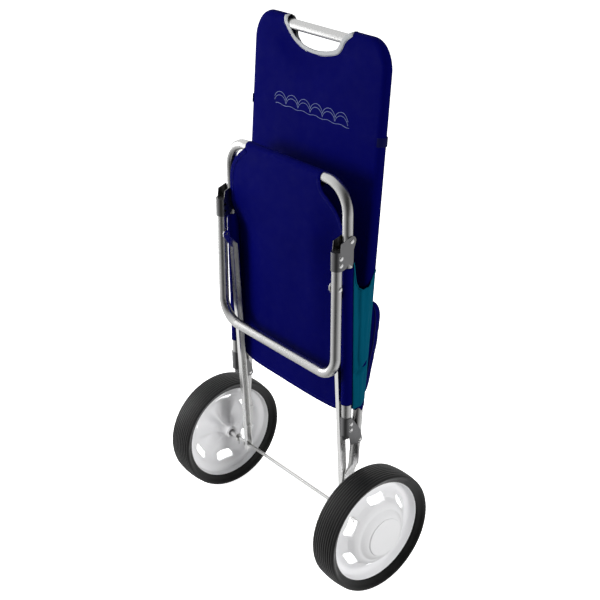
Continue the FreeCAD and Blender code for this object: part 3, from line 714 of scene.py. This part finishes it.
def seat_depth(x, up):
    """Depth of the sling: the front of the bar at the top, the rear of the rails lower down."""
    low = SEAT.up(SEAT_LOW)
    fall = (SEAT_BAR - up) / (SEAT_BAR - SEAT.up(0.735))
    if x < 0:
        fall = ((SEAT_BAR - up) / (SEAT_BAR - SEAT.up(0.70)) - 0.6) / 0.4
    side = mix(-SLEEVE, SLEEVE - 0.0010, smoothstep(fall))
    middle = mix(-SLEEVE, 0.0095, smoothstep((SEAT_BAR - up) / (SEAT_BAR - low) * 0.9) ** 0.9)
    depth = mix(middle, side, smoothstep((abs(x) - 0.075) / 0.10))
    inset = smoothstep((HALF - 0.02 - abs(x)) / 0.06) * smoothstep((SEAT_BAR - up) / 0.05)
    depth += 0.0016 * wrinkle(x, 0.0, up * 0.5, 21.0, 12.0) * inset
    slant = up + 0.55 * abs(x)
    depth += 0.0012 * wrinkle(x * 0.3, 0.0, slant, 5.0, 30.0) * inset * smoothstep(
        (abs(x) - 0.07) / 0.08) * smoothstep((up - SEAT.up(0.66)) / 0.08)
    return depth


def seat_panel(x, up):
    """The panel, carried over the bar and down behind it."""
    past = up - SEAT_BAR
    if past <= 0:
        return SEAT.at(x, seat_depth(x, up), up)
    if past <= WRAP:
        angle = past / SLEEVE
        return SEAT.at(x, -SLEEVE * math.cos(angle), SEAT_BAR + SLEEVE * math.sin(angle))
    down = past - WRAP
    share = smoothstep(down / FLAP)
    rear = mix(SLEEVE, seat_depth(x, SEAT_BAR - down) + 0.0014, share)
    return SEAT.at(x, rear, SEAT_BAR - down)


def seat_edges():
    """Right and left side edges, from the hem upward, as (x, up) points."""
    rail, ear = HALF - 0.002, 0.1783
    common = [(rail, 0.423), (rail, 0.55), (rail, 0.70), (rail - 0.001, 0.724),
              (ear, 0.738), (ear, 0.77), (ear, 0.803)]
    right = common + [(0.1745, 0.822), (0.168, 0.843), (0.156, 0.858), (0.142, 0.871),
                      (0.129, 0.881), (0.1225, 0.893), (BAR_HALF, 0.905)]
    left = common + [(0.1780, 0.826), (0.174, 0.846), (0.165, 0.865), (0.152, 0.881),
                     (0.138, 0.894), (0.127, 0.902), (BAR_HALF, 0.9065)]
    return SEAT.flat(right), SEAT.flat([(-x, z) for x, z in left])


def seat_border():
    right, left = seat_edges()
    top = SEAT_BAR + WRAP + FLAP
    hem = [(-HALF + 0.002, 0.423), (-0.187, 0.408), (-0.176, 0.395), (-0.155, 0.385),
           (-0.11, 0.3815), (0.0, SEAT_LOW), (0.10, 0.3802), (0.140, 0.3830),
           (0.164, 0.3900), (0.181, 0.4020), (HALF - 0.002, 0.423)]
    hem, side, other = [curve_through(line, 0.007) for line in (SEAT.flat(hem), right, left)]
    border = hem[:-1] + side
    border += straight((BAR_HALF, SEAT_BAR + 0.004), (BAR_HALF, top), 0.005)
    border += straight((BAR_HALF, top), (-BAR_HALF, top), 0.007)
    border += straight((-BAR_HALF, top), (-BAR_HALF, SEAT_BAR + 0.004), 0.005)
    border += other[:0:-1]
    return border, hem, side, other


def build_seat_cover():
    border, hem, right, left = seat_border()
    rings = []
    for k in range(1, 8):
        up = SEAT_BAR + WRAP * k / 8
        rings += straight((-BAR_HALF, up), (BAR_HALF, up), 0.007)
    panel = cut_cloth("seat_sling", border, (seat_panel,), 0.009,
                      rings, facing=(0, -1, 0))
    thicken(panel, 0.0010)
    dress(panel, "seat", "navy_canvas", "seat_cover")
    centre = Vector((0.0, SEAT.up(0.65)))
    rows, trim, above_sleeve = [], [], slice(44, None)
    for name, line in (("bottom", hem), ("right", right[above_sleeve]),
                       ("left", left[above_sleeve])):
        normals = inward_normals(line, lambda _: centre)
        piece = strip_on("seat_hem_" + name, line, normals, seat_panel,
                         folded_edge(0.010, 0.0006, 0.0016), -1)
        trim.append(dress(piece, "seat", "navy_canvas"))
        rows.append(seam_row([p + n * 0.0085 for p, n in zip(line, normals)], seat_panel, -1,
                             0.0008))
    for _, side in SIDES:
        ends = SEAT.flat([(side * 0.1765, SEAT_SLEEVE[0] + 0.006),
                          (side * 0.1765, SEAT_SLEEVE[1] - 0.004)])
        rows.append(seam_row(straight(*ends, 0.008), seat_panel, -1))
    trim.append(dress(stitches("seat_stitching", rows), "seat", "navy_canvas", finish=THREAD))


def build_rail_sleeve(name, side):
    """Fabric sleeve round a seat rail, gathered a little and hemmed at both ends."""
    low, high = SEAT.up(SEAT_SLEEVE[0]), SEAT.up(SEAT_SLEEVE[1])
    rows, around, places = 66, 40, []
    seam_at = math.pi * (0.72 if side > 0 else 0.28)
    for i in range(rows + 1):
        up = mix(low, high, i / rows)
        from_end = min(i, rows - i) / rows * (high - low)
        hem = 0.0004 if from_end < 0.010 else 0.0
        for k in range(around):
            angle = 2 * math.pi * k / around
            pucker = 0.00045 * wrinkle(math.cos(angle), math.sin(angle), up * 30, side * 7.0, 1.2)
            radius = SLEEVE + hem - 0.0004 + pucker * smoothstep(from_end / 0.03)
            radius += 0.0022 * bell(angle - seam_at, 0.2)
            places.append(SEAT.at(side * HALF + radius * math.cos(angle),
                                  radius * math.sin(angle), up))
    sleeve = mesh_from("seat_sleeve_" + name, places, ring_faces(rows + 1, around, caps=False))
    tidy_normals(sleeve)
    thicken(sleeve, 0.0007)
    dress(sleeve, "seat", "navy_canvas")


# ---------------------------------------------------------------- cargo pocket
def gusset_rail_y(lean, z):
    return lean.y + lean.sin / lean.cos * (z - lean.z)


def gusset_point(side, across, z):
    """across runs from 0 at the seat rail to 1 at the back rail."""
    ends = []
    for lean, gap, angle in ((SEAT, 0.0008, math.radians(40)), (BACK, 0.0012, math.radians(24))):
        ends.append(Vector((HALF + (SLEEVE + gap) * math.cos(angle),
                            gusset_rail_y(lean, z) + (SLEEVE + gap) * math.sin(angle))))
    at = ends[0].lerp(ends[1], across)
    low = smoothstep((0.50 - z) / 0.10)
    bulge = mix(0.0035, 0.0060, low) * math.sin(math.pi * across) ** 0.8
    edge = smoothstep(across / 0.15) * smoothstep((1 - across) / 0.12)
    folds = 0.0034 * wrinkle(across * 1.6, z * 1.1, 0.0, 13.0 + side, 3.4)
    folds += 0.0010 * wrinkle(across * 2.2, z * 4.0, 0.0, 31.0, 6.0)
    fold_at, fold_wide, fold_deep = 0.26 + 0.05 * math.sin(14.0 * z), 0.050, 0.0078
    folds -= fold_deep * bell(across - fold_at, fold_wide) * smoothstep((z - 0.47) / 0.06)
    slant, crease = 0.03 * (across - 0.5), 0.0                 # a level crease and its lip
    for height, wide, rise in ((0.500, 0.0055, -0.0090), (0.512, 0.010, 0.0036)):
        crease += rise * bell((z - height) - slant, wide)
    outward = bulge + (folds + crease * math.sin(math.pi * across)) * edge
    return Vector((side * (at.x + outward), at.y, z))


def gusset_top(across):
    """Height of the scooped upper edge."""
    return float(np.interp(across, [0.0, 0.04, 0.10, 0.22, 0.37, 0.50, 0.64, 0.86, 1.0],
                           [0.7465, 0.722, 0.700, 0.6875, 0.6820, 0.6815, 0.6845, 0.699, 0.717]))


def build_gusset(name, side):
    rows, columns, low, rise, places = 90, 26, 0.408, 0.014, []
    for i in range(rows + 1):
        for k in range(columns + 1):
            across = k / columns
            z = mix(low + rise * across, gusset_top(across), i / rows)
            places.append(gusset_point(side, across, z))
    wall = mesh_from("gusset_wall_" + name, places, grid_faces(rows, columns))
    face_towards(wall, (side, 0, 0))
    thicken(wall)
    coat(wall, "teal_canvas", "gusset_" + name)
    rim = [gusset_point(side, k / 40, gusset_top(k / 40)) for k in range(41)]
    tape = sweep("gusset_rim_" + name, rim, 0.0016)
    coat(tape, "teal_canvas")
    for piece in (wall, tape):
        open_with_seat(piece)


def open_with_seat(piece):
    """Fabric that joins the back to the seat: its placement is baked into its mesh."""
    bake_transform(piece)


def build_pocket_floor():
    """Narrow sling that closes the bottom of the pocket."""
    wide, z, rows, columns = 0.186, 0.409, 12, 60
    front = gusset_rail_y(SEAT, z) + SLEEVE + 0.0012
    rear = gusset_rail_y(BACK, z) - SLEEVE - 0.0008
    places = []
    for i in range(rows + 1):
        share = i / rows
        for k in range(columns + 1):
            x = mix(-wide, wide, k / columns)
            sag = 0.0075 * math.sin(math.pi * share) + 0.0010 * wrinkle(x, share, 0, 2.0, 30.0)
            places.append(Vector((x, mix(front, rear, share), z - sag)))
    floor = mesh_from("pocket_bottom", places, grid_faces(rows, columns))
    thicken(floor)
    coat(floor, "teal_canvas", "pocket_floor")
    open_with_seat(floor)


# ---------------------------------------------------------------- pillow and pouch
PAD_FOOT = SLEEVE + 0.0014                         # depth of a pad's flat side
PIPING_AT = SLEEVE + 0.0085                        # depth of the piped seam round a pad


def pad_between(name, border, start, depth, roll):
    """Closed pad on the rear of the cover: flat towards the cover, crowned to the rear."""
    from_edge, seam = distance_from(border), 0.32          # share of the depth at the seam
    centre = np.array([p.y for p in border]).mean()

    def crown(x, up):
        t = min(from_edge(x, up) / roll, 1.0)
        return math.sqrt(max(1 - (1 - t) ** 2, 0.0))

    def rear(x, up):
        return BACK.at(x, start + depth * (seam + (1 - seam) * crown(x, up)), up)

    def front(x, up):
        return BACK.at(x, start + seam * depth * (1 - crown(x, up)), up)

    rings = []
    normals = inward_normals(border, lambda p: Vector((p.x * 0.6, mix(p.y, centre, 0.5))),
                             closed=True)
    for inset in (0.0015, 0.004, 0.008):
        rings += [p + n * inset for p, n in zip(border, normals)]
    return cut_cloth(name, border, (rear, front), 0.008, rings)


def puff(pad, cap, voxel=0.005, pressure=4.0):
    """Inflate a closed pad by cloth simulation, never further than cap from where it was."""
    remesh = pad.modifiers.new("voxels", "REMESH")
    remesh.mode, remesh.voxel_size = "VOXEL", voxel
    bpy.context.view_layer.objects.active = pad
    bpy.ops.object.modifier_apply(modifier=remesh.name)
    before = np.array([v.co for v in pad.data.vertices])
    cloth = pad.modifiers.new("inflate", "CLOTH")
    settings = cloth.settings
    settings.quality, settings.mass = 6, 0.25
    settings.use_pressure, settings.uniform_pressure_force = True, pressure
    settings.tension_stiffness = settings.compression_stiffness = 18
    settings.bending_stiffness = 0.6
    settings.effector_weights.gravity = 0.0
    cloth.point_cache.frame_start, cloth.point_cache.frame_end = 1, 20
    for step in range(1, 21):
        scene.frame_set(step)
    shaped = pad.evaluated_get(bpy.context.evaluated_depsgraph_get())
    after = np.array([v.co for v in shaped.data.vertices])
    pad.modifiers.remove(cloth)
    scene.frame_set(1)
    move = after - before
    length = np.linalg.norm(move, axis=1, keepdims=True)
    move *= np.minimum(1.0, cap / np.maximum(length, 1e-9))
    pad.data.vertices.foreach_set("co", (before + move).astype(np.float32).ravel())
    pad.data.update()
    smooth = pad.modifiers.new("smooth", "SUBSURF")
    smooth.levels = smooth.render_levels = 1
    bpy.ops.object.modifier_apply(modifier=smooth.name)
    pad.data.polygons.foreach_set("use_smooth", [True] * len(pad.data.polygons))


def rest_on_cover(pad, gap):
    """Flatten what would sink into the cover's rear layer."""
    plane = SLEEVE + gap
    for vertex in pad.data.vertices:
        depth, up = BACK.read(vertex.co)
        if depth < plane:
            vertex.co = BACK.at(vertex.co.x, plane, up)
    pad.data.update()


def press_seam(pad, line, wide, deep):
    """Sew a channel into a pad's rear along a 2-D line of (x, up) points."""
    from_line = distance_from(line)
    for vertex in pad.data.vertices:
        depth, up = BACK.read(vertex.co)
        gap = from_line(vertex.co.x, up)
        if gap < 3 * wide:
            room = max(depth - SLEEVE - 0.004, 0.0)
            cut = min(deep, room) * bell(gap, wide)
            vertex.co = BACK.at(vertex.co.x, depth - cut, up)
    pad.data.update()


def piping(name, pad, border, depth):
    """Piped seam round a pad, on its puffed skin."""
    tree = BVHTree.FromObject(pad, bpy.context.evaluated_depsgraph_get())
    route = [tree.find_nearest(BACK.at(p.x, depth, p.y))[0] for p in border]
    smooth = [(route[i - 1] + route[i] * 2 + route[(i + 1) % len(route)]) / 4
              for i in range(len(route))]
    return sweep(name, smooth, 0.0017, closed=True)


def mirrored_border(top, right, bottom, step):
    """Closed border from its right half, given as (x, height) points."""
    points = [(0.0, top)] + right + [(0.0, bottom)] + [(-x, z) for x, z in right[::-1]]
    return curve_through(BACK.flat(points), step, closed=True)


def pillow_border():
    side = [(0.100, 1.1265), (0.122, 1.1375), (0.150, 1.1385), (0.168, 1.128), (0.1755, 1.108),
            (0.177, 1.06), (0.1755, 1.010), (0.167, 0.993), (0.145, 0.989), (0.08, 0.9885)]
    return mirrored_border(1.064, [(0.040, 1.074), (0.070, 1.096)] + side, 0.988, 0.007)


def build_pillow():
    border = pillow_border()
    pad = pad_between("head_pillow_pad", border, PAD_FOOT, 0.021, 0.034)
    puff(pad, 0.008)
    rest_on_cover(pad, 0.0009)
    for x in (-0.06, 0.06):
        channel = BACK.flat([(x, z) for z in np.linspace(0.992, 1.085, 16)])
        press_seam(pad, channel, 0.0045, 0.0050)
    dress(pad, "back_frame", "navy_canvas", "head_pillow")
    dress(piping("pillow_piping", pad, border, PIPING_AT), "back_frame", "grey_binding")


def build_pillow_straps():
    """Elastic tapes from the pillow's lower corners round the edge of the cover."""
    low, wide, thick, reach, turn = BACK.up(0.972), 0.018, 0.0012, SLEEVE + 0.0010, 14
    route = [(0.150, SLEEVE + 0.0016), (0.165, SLEEVE + 0.0012), (0.180, SLEEVE + 0.0010)]
    for k in range(turn + 1):
        angle = math.radians(mix(78, -72, k / turn))
        route.append((HALF + reach * math.cos(angle), reach * math.sin(angle)))
    for name, side in SIDES:
        places = []
        for i, (x, depth) in enumerate(route):
            out = Vector((x - HALF, depth)).normalized()
            if i < 4:                                      # still flat on the cover
                a, b = route[max(i - 1, 0)], route[i + 1]
                out = Vector((a[1] - b[1], b[0] - a[0])).normalized()
            for up, rise in ((low, 0), (low, 1), (low + wide, 1), (low + wide, 0)):
                places.append(BACK.at(side * (x + out.x * thick * rise),
                                      depth + out.y * thick * rise, up))
        strap = mesh_from("pillow_strap_" + name, places, ring_faces(len(route), 4))
        tidy_normals(strap)
        soften = strap.modifiers.new("edges", "BEVEL")
        soften.width, soften.segments, soften.limit_method = 0.0003, 2, "ANGLE"
        dress(strap, "back_frame", "navy_webbing", *(["pillow_straps"] if side < 0 else []))


def pouch_border():
    side = [(0.150, 0.6375), (0.188, 0.6340), (0.202, 0.6220), (0.2080, 0.598), (0.2065, 0.552),
            (0.202, 0.515), (0.196, 0.470), (0.189, 0.425), (0.178, 0.407), (0.150, 0.401)]
    return mirrored_border(0.636, side, 0.402, 0.008)


def build_pouch():
    border = pouch_border()
    pad = pad_between("rear_pouch_bag", border, PAD_FOOT, 0.034, 0.022)
    puff(pad, 0.009, voxel=0.006, pressure=4.5)
    rest_on_cover(pad, 0.0009)
    zip_line = [Vector((x, BACK.up(0.604) - 0.10 * x * x)) for x in np.linspace(-0.15, 0.15, 61)]
    press_seam(pad, zip_line, 0.0050, 0.0030)
    press_seam(pad, BACK.flat([(x, 0.430) for x in np.linspace(-0.15, 0.15, 40)]), 0.0035, 0.0025)
    dress(pad, "back_frame", "navy_canvas", "rear_pouch")
    dress(piping("pouch_piping", pad, border, PIPING_AT), "back_frame", "navy_webbing")
    build_zip(pad, zip_line)


def build_zip(pad, line):
    """Coil zip across the pouch with its slider and pull tape."""
    tree = BVHTree.FromObject(pad, bpy.context.evaluated_depsgraph_get())
    toward = (BACK.at(0, 1, 0) - BACK.at(0, 0, 0)).normalized()

    def skin(x, up):
        hit = tree.ray_cast(BACK.at(x, 0.2, up), -toward)[0]
        return hit if hit is not None else BACK.at(x, SLEEVE + 0.02, up)

    across = [Vector((0, 1))] * len(line)
    tape = strip_on("pouch_zip_tape", line, across, skin,
                    [(-0.009, 0.0), (-0.009, 0.0007), (0.0, 0.0010), (0.009, 0.0007),
                     (0.009, 0.0)], 1)
    dress(tape, "back_frame", "navy_webbing")
    teeth_path = [skin(p.x, p.y) + toward * 0.0013 for p in line]
    teeth = sweep("pouch_zip_coil", teeth_path, lambda i: 0.0013 + 0.0002 * (i % 2), squeeze=0.6)
    dress(teeth, "back_frame", "black_plastic")
    at = skin(line[-6].x, line[-6].y) + toward * 0.0028
    slider_path = [at + Vector((dx, 0, 0)) for dx in (-0.005, -0.002, 0.002, 0.005)]
    radii = (0.0026, 0.0034, 0.0034, 0.0022)
    slider = sweep("pouch_zip_slider", slider_path, lambda i: radii[i], 10, squeeze=0.5)
    dress(slider, "back_frame", "rivet_steel")
    pull_path = [at + toward * 0.0016 + Vector((0.004, 0, -down))
                 for down in (0, 0.006, 0.013, 0.020, 0.026)]
    pull = sweep("pouch_zip_pull", pull_path, 0.0020, squeeze=0.35)
    dress(pull, "back_frame", "grey_binding")


# ---------------------------------------------------------------- wheels
WHEEL_R = joints["wheel_spin_right"]["pos_m"][2]
TRACK = joints["wheel_spin_right"]["pos_m"][0]
RIM_HALF = 0.0195                                  # half width of the rim where the tyre sits


def wheel_at(side, x, r, angle):
    return Vector((side * (TRACK + x), r * math.cos(angle), WHEEL_R + r * math.sin(angle)))


def lathe(name, profile, segments, side, shape=None):
    """Closed profile of (x, r) points turned round the axle; x is outward from mid wheel."""
    places = []
    for k in range(segments):
        angle = 2 * math.pi * k / segments
        for x, r in profile:
            if shape:
                x = shape(x, r, angle)
            places.append(wheel_at(side, x, r, angle))
    obj = mesh_from(name, places, ring_faces(segments, len(profile), closed=True))
    tidy_normals(obj, weld=1e-7)
    return obj


def tyre_profile():
    """Ribbed crown, square shoulders, slightly hollow sidewalls."""
    wide, out, ribs, groove = 0.033, WHEEL_R, 10, 0.0022
    crown_half = wide - 0.0012
    pitch = 2 * crown_half / ribs
    points = []
    for i in range(ribs):
        centre = -crown_half + pitch * (i + 0.5)
        for offset, depth in ((-0.46, groove), (-0.26, 0.00015), (-0.19, 0.0), (0.19, 0.0),
                              (0.26, 0.00015), (0.46, groove)):
            x = centre + offset * pitch
            if abs(x) > crown_half - 0.3 * pitch:
                depth = 0.0004
            points.append((x, out - 0.0030 * (x / wide) ** 2 - depth))
    wall = [(wide - 0.0002, out - 0.0042), (wide, out - 0.0058), (wide - 0.0008, out - 0.0078),
            (wide - 0.0036, out - 0.0110), (wide - 0.0048, out - 0.0122),
            (wide - 0.0056, out - 0.0128), (RIM_HALF + 0.0046, out - 0.0190),
            (RIM_HALF + 0.0032, out - 0.0212), (RIM_HALF + 0.0014, out - 0.0232),
            (RIM_HALF + 0.0002, out - 0.0235), (RIM_HALF, out - 0.0222)]
    points += wall + [(-x, r) for x, r in wall[::-1]]
    return points


def build_tyre(name, side):
    tyre = lathe("tyre_ribbed_" + name, tyre_profile(), 180, side)
    dress(tyre, "wheel_" + name, "tyre_rubber", "tyre_" + name)


RIM_OUTSIDE = [(0.0195, 0.1177), (0.0197, 0.1160), (0.0190, 0.1150), (0.0150, 0.1146),
               (0.0060, 0.1140), (0.0020, 0.1131), (-0.0008, 0.1108), (-0.0020, 0.1075),
               (-0.0022, 0.1035), (-0.0012, 0.1000), (0.0015, 0.0969), (0.0045, 0.0942),
               (0.0120, 0.0870), (0.0200, 0.0793), (0.0255, 0.0738), (0.0290, 0.0700),
               (0.0318, 0.0660), (0.0335, 0.0625), (0.0340, 0.0600), (0.0352, 0.0585),
               (0.0385, 0.0555), (0.0415, 0.0520), (0.0440, 0.0485), (0.0452, 0.0462),
               (0.0454, 0.0445), (0.0460, 0.0436), (0.0461, 0.0400), (0.0461, 0.0265)]
RIM_INSIDE = [(0.0276, 0.0265), (0.0276, 0.0062), (-0.0150, 0.0062), (-0.0150, 0.0090),
              (-0.0242, 0.0090), (-0.0250, 0.0098), (-0.0250, 0.0140), (-0.0242, 0.0150),
              (-0.0200, 0.0154), (-0.0100, 0.0160), (0.0020, 0.0172), (0.0120, 0.0195),
              (0.0180, 0.0235), (0.0215, 0.0300), (0.0232, 0.0400), (0.0238, 0.0500),
              (0.0240, 0.0600), (0.0238, 0.0660), (0.0226, 0.0703), (0.0200, 0.0736),
              (0.0140, 0.0794), (0.0060, 0.0872), (0.0005, 0.0925), (-0.0034, 0.0962),
              (-0.0052, 0.1000), (-0.0056, 0.1040), (-0.0054, 0.1090), (-0.0064, 0.1128),
              (-0.0100, 0.1148), (-0.0190, 0.1153), (-0.0197, 0.1162), (-0.0195, 0.1177)]


def rim_lobes(x, r, angle):
    """Six broad lobes stand between the windows and run in to the hub."""
    if not 0.0151 < r < 0.0830 or x > 0.0242:
        return x
    crest = np.interp(r, [0.015, 0.025, 0.040, 0.060, 0.072, 0.083],
                      [-0.0215, -0.0130, -0.0040, 0.0050, 0.0085, 0.0100])
    wave = (0.5 + 0.5 * math.cos(6 * angle)) ** 1.3
    return min(x, mix(x, crest, 0.55 * wave))


def window_cutter(side):
    """Six rounded windows through the disc, as one mesh."""
    near, far, corner = 0.0750, 0.0910, 0.0055
    outline, places, polygons = [], [], []
    for r, spread, start in ((far, 0.0230, 0), (far, 0.0230, 90),
                             (near, 0.0205, 180), (near, 0.0205, 270)):
        across = (spread - corner) * (1 if start in (0, 270) else -1)
        centre = r - corner if r == far else r + corner
        for k in range(7):
            a = math.radians(start + 15 * k)
            outline.append((across + corner * math.cos(a), centre + corner * math.sin(a)))
    for number in range(6):
        middle = math.radians(30 + 60 * number)
        polygons += ring_faces(2, len(outline), start=len(places))
        for x in (-0.008, 0.034):
            for across, r in outline:
                out = r - 0.5 * across * across / r
                angle = middle + math.atan2(across, out)
                places.append(wheel_at(side, x, math.hypot(across, out), angle))
    cutter = mesh_from("window_cutter", places, polygons)
    tidy_normals(cutter)
    return cutter


def build_rim(name, side):
    rim = lathe("rim_moulded_" + name, RIM_OUTSIDE + RIM_INSIDE, 144, side, rim_lobes)
    cutter = window_cutter(side)
    cut = rim.modifiers.new("windows", "BOOLEAN")
    cut.operation, cut.object, cut.solver = "DIFFERENCE", cutter, "EXACT"
    bpy.context.view_layer.objects.active = rim
    bpy.ops.object.modifier_apply(modifier=cut.name)
    bpy.data.objects.remove(cutter)
    round_over(rim, 0.0007)
    dress(rim, "wheel_" + name, "white_plastic", "rim_" + name)
    cap = lathe("hub_dome_" + name, CAP, 96, side)
    dress(cap, "wheel_" + name, "white_plastic", "hub_cap_" + name)


CAP = [(0.0464, 0.0), (0.0464, 0.0262), (0.0462, 0.0266), (0.0462, 0.0432), (0.0466, 0.0443),
       (0.0474, 0.0446), (0.0482, 0.0440), (0.0488, 0.0420), (0.0494, 0.0370), (0.0499, 0.0280),
       (0.0502, 0.0180), (0.0504, 0.0080), (0.0504, 0.0)]


def round_over(obj, width):
    """Break sharp edges and keep flat faces flat."""
    weld = obj.modifiers.new("weld", "WELD")
    weld.merge_threshold = 1e-6
    bevel = obj.modifiers.new("round", "BEVEL")
    bevel.width, bevel.segments, bevel.limit_method = width, 2, "ANGLE"
    bevel.angle_limit = math.radians(35)
    bevel.use_clamp_overlap = True


# ---------------------------------------------------------------- camera, light and floor
def aimed(name, data, place, target):
    """New camera or lamp that looks from a place to a target."""
    obj = bpy.data.objects.new(name, data)
    scene.collection.objects.link(obj)
    obj.location = place
    obj.rotation_euler = (Vector(target) - Vector(place)).to_track_quat("-Z", "Y").to_euler()
    return obj


def add_camera():
    data = bpy.data.cameras.new("camera")
    data.lens, data.sensor_width = 73.66, 36.0             # millimetres
    data.shift_x, data.shift_y = 0.0012, 0.0059            # share of the picture's width
    scene.camera = aimed("camera", data, (1.856, -1.5068, 1.7303), (0.0023, 0.0153, 0.5757))


def add_area(name, place, target, size, power, glossy=True):
    data = bpy.data.lights.new(name, "AREA")
    data.shape, data.size, data.size_y = "RECTANGLE", size[0], size[1]
    data.energy = power
    aimed(name, data, place, target).visible_glossy = glossy


def add_world():
    """Soft studio: bright on the left and above, dark on the right, bright floor behind."""
    world = bpy.data.worlds.new("studio")
    world.use_nodes = True
    tree = world.node_tree
    place = add_node(tree, "ShaderNodeTexCoord").outputs["Generated"]

    def towards(direction, low, high, most):
        """From 0 to most as the view turns to a direction, between two cosines."""
        dot = add_node(tree, "ShaderNodeVectorMath",
                       {0: place, 1: Vector(direction).normalized()}, operation="DOT_PRODUCT")
        inputs = {"Value": dot.outputs["Value"], "From Min": low, "From Max": high,
                  "To Max": most}
        return add_node(tree, "ShaderNodeMapRange", inputs).outputs["Result"]

    ramp = add_node(tree, "ShaderNodeValToRGB",
                    {"Fac": towards((-0.93, -0.15, 0.28), -1.0, 1.0, 1.0)})
    stops = ((0.0, 0.02), (0.32, 0.07), (0.50, 0.34), (0.72, 0.84), (1.0, 1.15))
    for at, _ in stops[1:-1]:
        ramp.color_ramp.elements.new(at)
    for element, (_, level) in zip(ramp.color_ramp.elements, stops):
        element.color = (level, level, level, 1)
    ground = towards((0.30, 0.55, -0.75), 0.15, 0.9, 0.90)
    brighter = add_node(tree, "ShaderNodeMath", {0: ramp.outputs["Color"], 1: ground},
                        operation="MAXIMUM")
    background = tree.nodes["Background"]
    tree.links.new(brighter.outputs[0], background.inputs["Color"])
    background.inputs["Strength"].default_value = 0.85
    scene.world = world


def add_floor():
    """Floor and backdrop: the camera sees them, but they send no light to the object."""
    reach, below = 12.0, -0.0004
    corners = [(x * reach, y * reach, below) for x, y in ((-1, -1), (1, -1), (1, 1), (-1, 1))]
    floor = mesh_from("floor", corners, [[0, 1, 2, 3]])
    bpy.ops.mesh.primitive_uv_sphere_add(segments=48, ring_count=24, radius=reach * 0.98)
    backdrop = bpy.context.object
    backdrop.name = "backdrop"
    for piece in (floor, backdrop):
        paper = Finish(piece.name + "_paper", (0.9, 0.9, 0.9), 0.9, Specular_IOR_Level=0.0,
                       Emission_Color=(1, 1, 1, 1), Emission_Strength=1.0)
        piece.data.materials.append(paper.material)
        piece.visible_diffuse = piece.visible_glossy = False
        piece.visible_transmission = piece.visible_shadow = False


# ---------------------------------------------------------------- build
finish_cad_nodes()
cover = build_back_cover()
build_cover_trim() + build_wave_print()
build_seat_cover()
build_pocket_floor()
for side_name, side_sign in SIDES:
    build_rail_sleeve(side_name, side_sign)
    build_gusset(side_name, side_sign)
build_pillow()
build_pillow_straps()
build_pouch()
for side_name, side_sign in SIDES:
    build_tyre(side_name, side_sign)
    build_rim(side_name, side_sign)

add_camera()
add_world()
add_area("key", (-1.50, -1.55, 1.05), (0, 0, 0.6), (0.8, 0.8), 52, glossy=False)
add_area("side", (-1.7, -0.7, 0.7), (0, 0, 0.5), (0.7, 1.3), 9)
add_area("wheel_fill", (3.7, -0.35, 1.8), (0, 0, 0.3), (0.9, 0.9), 96, glossy=False)
add_floor()
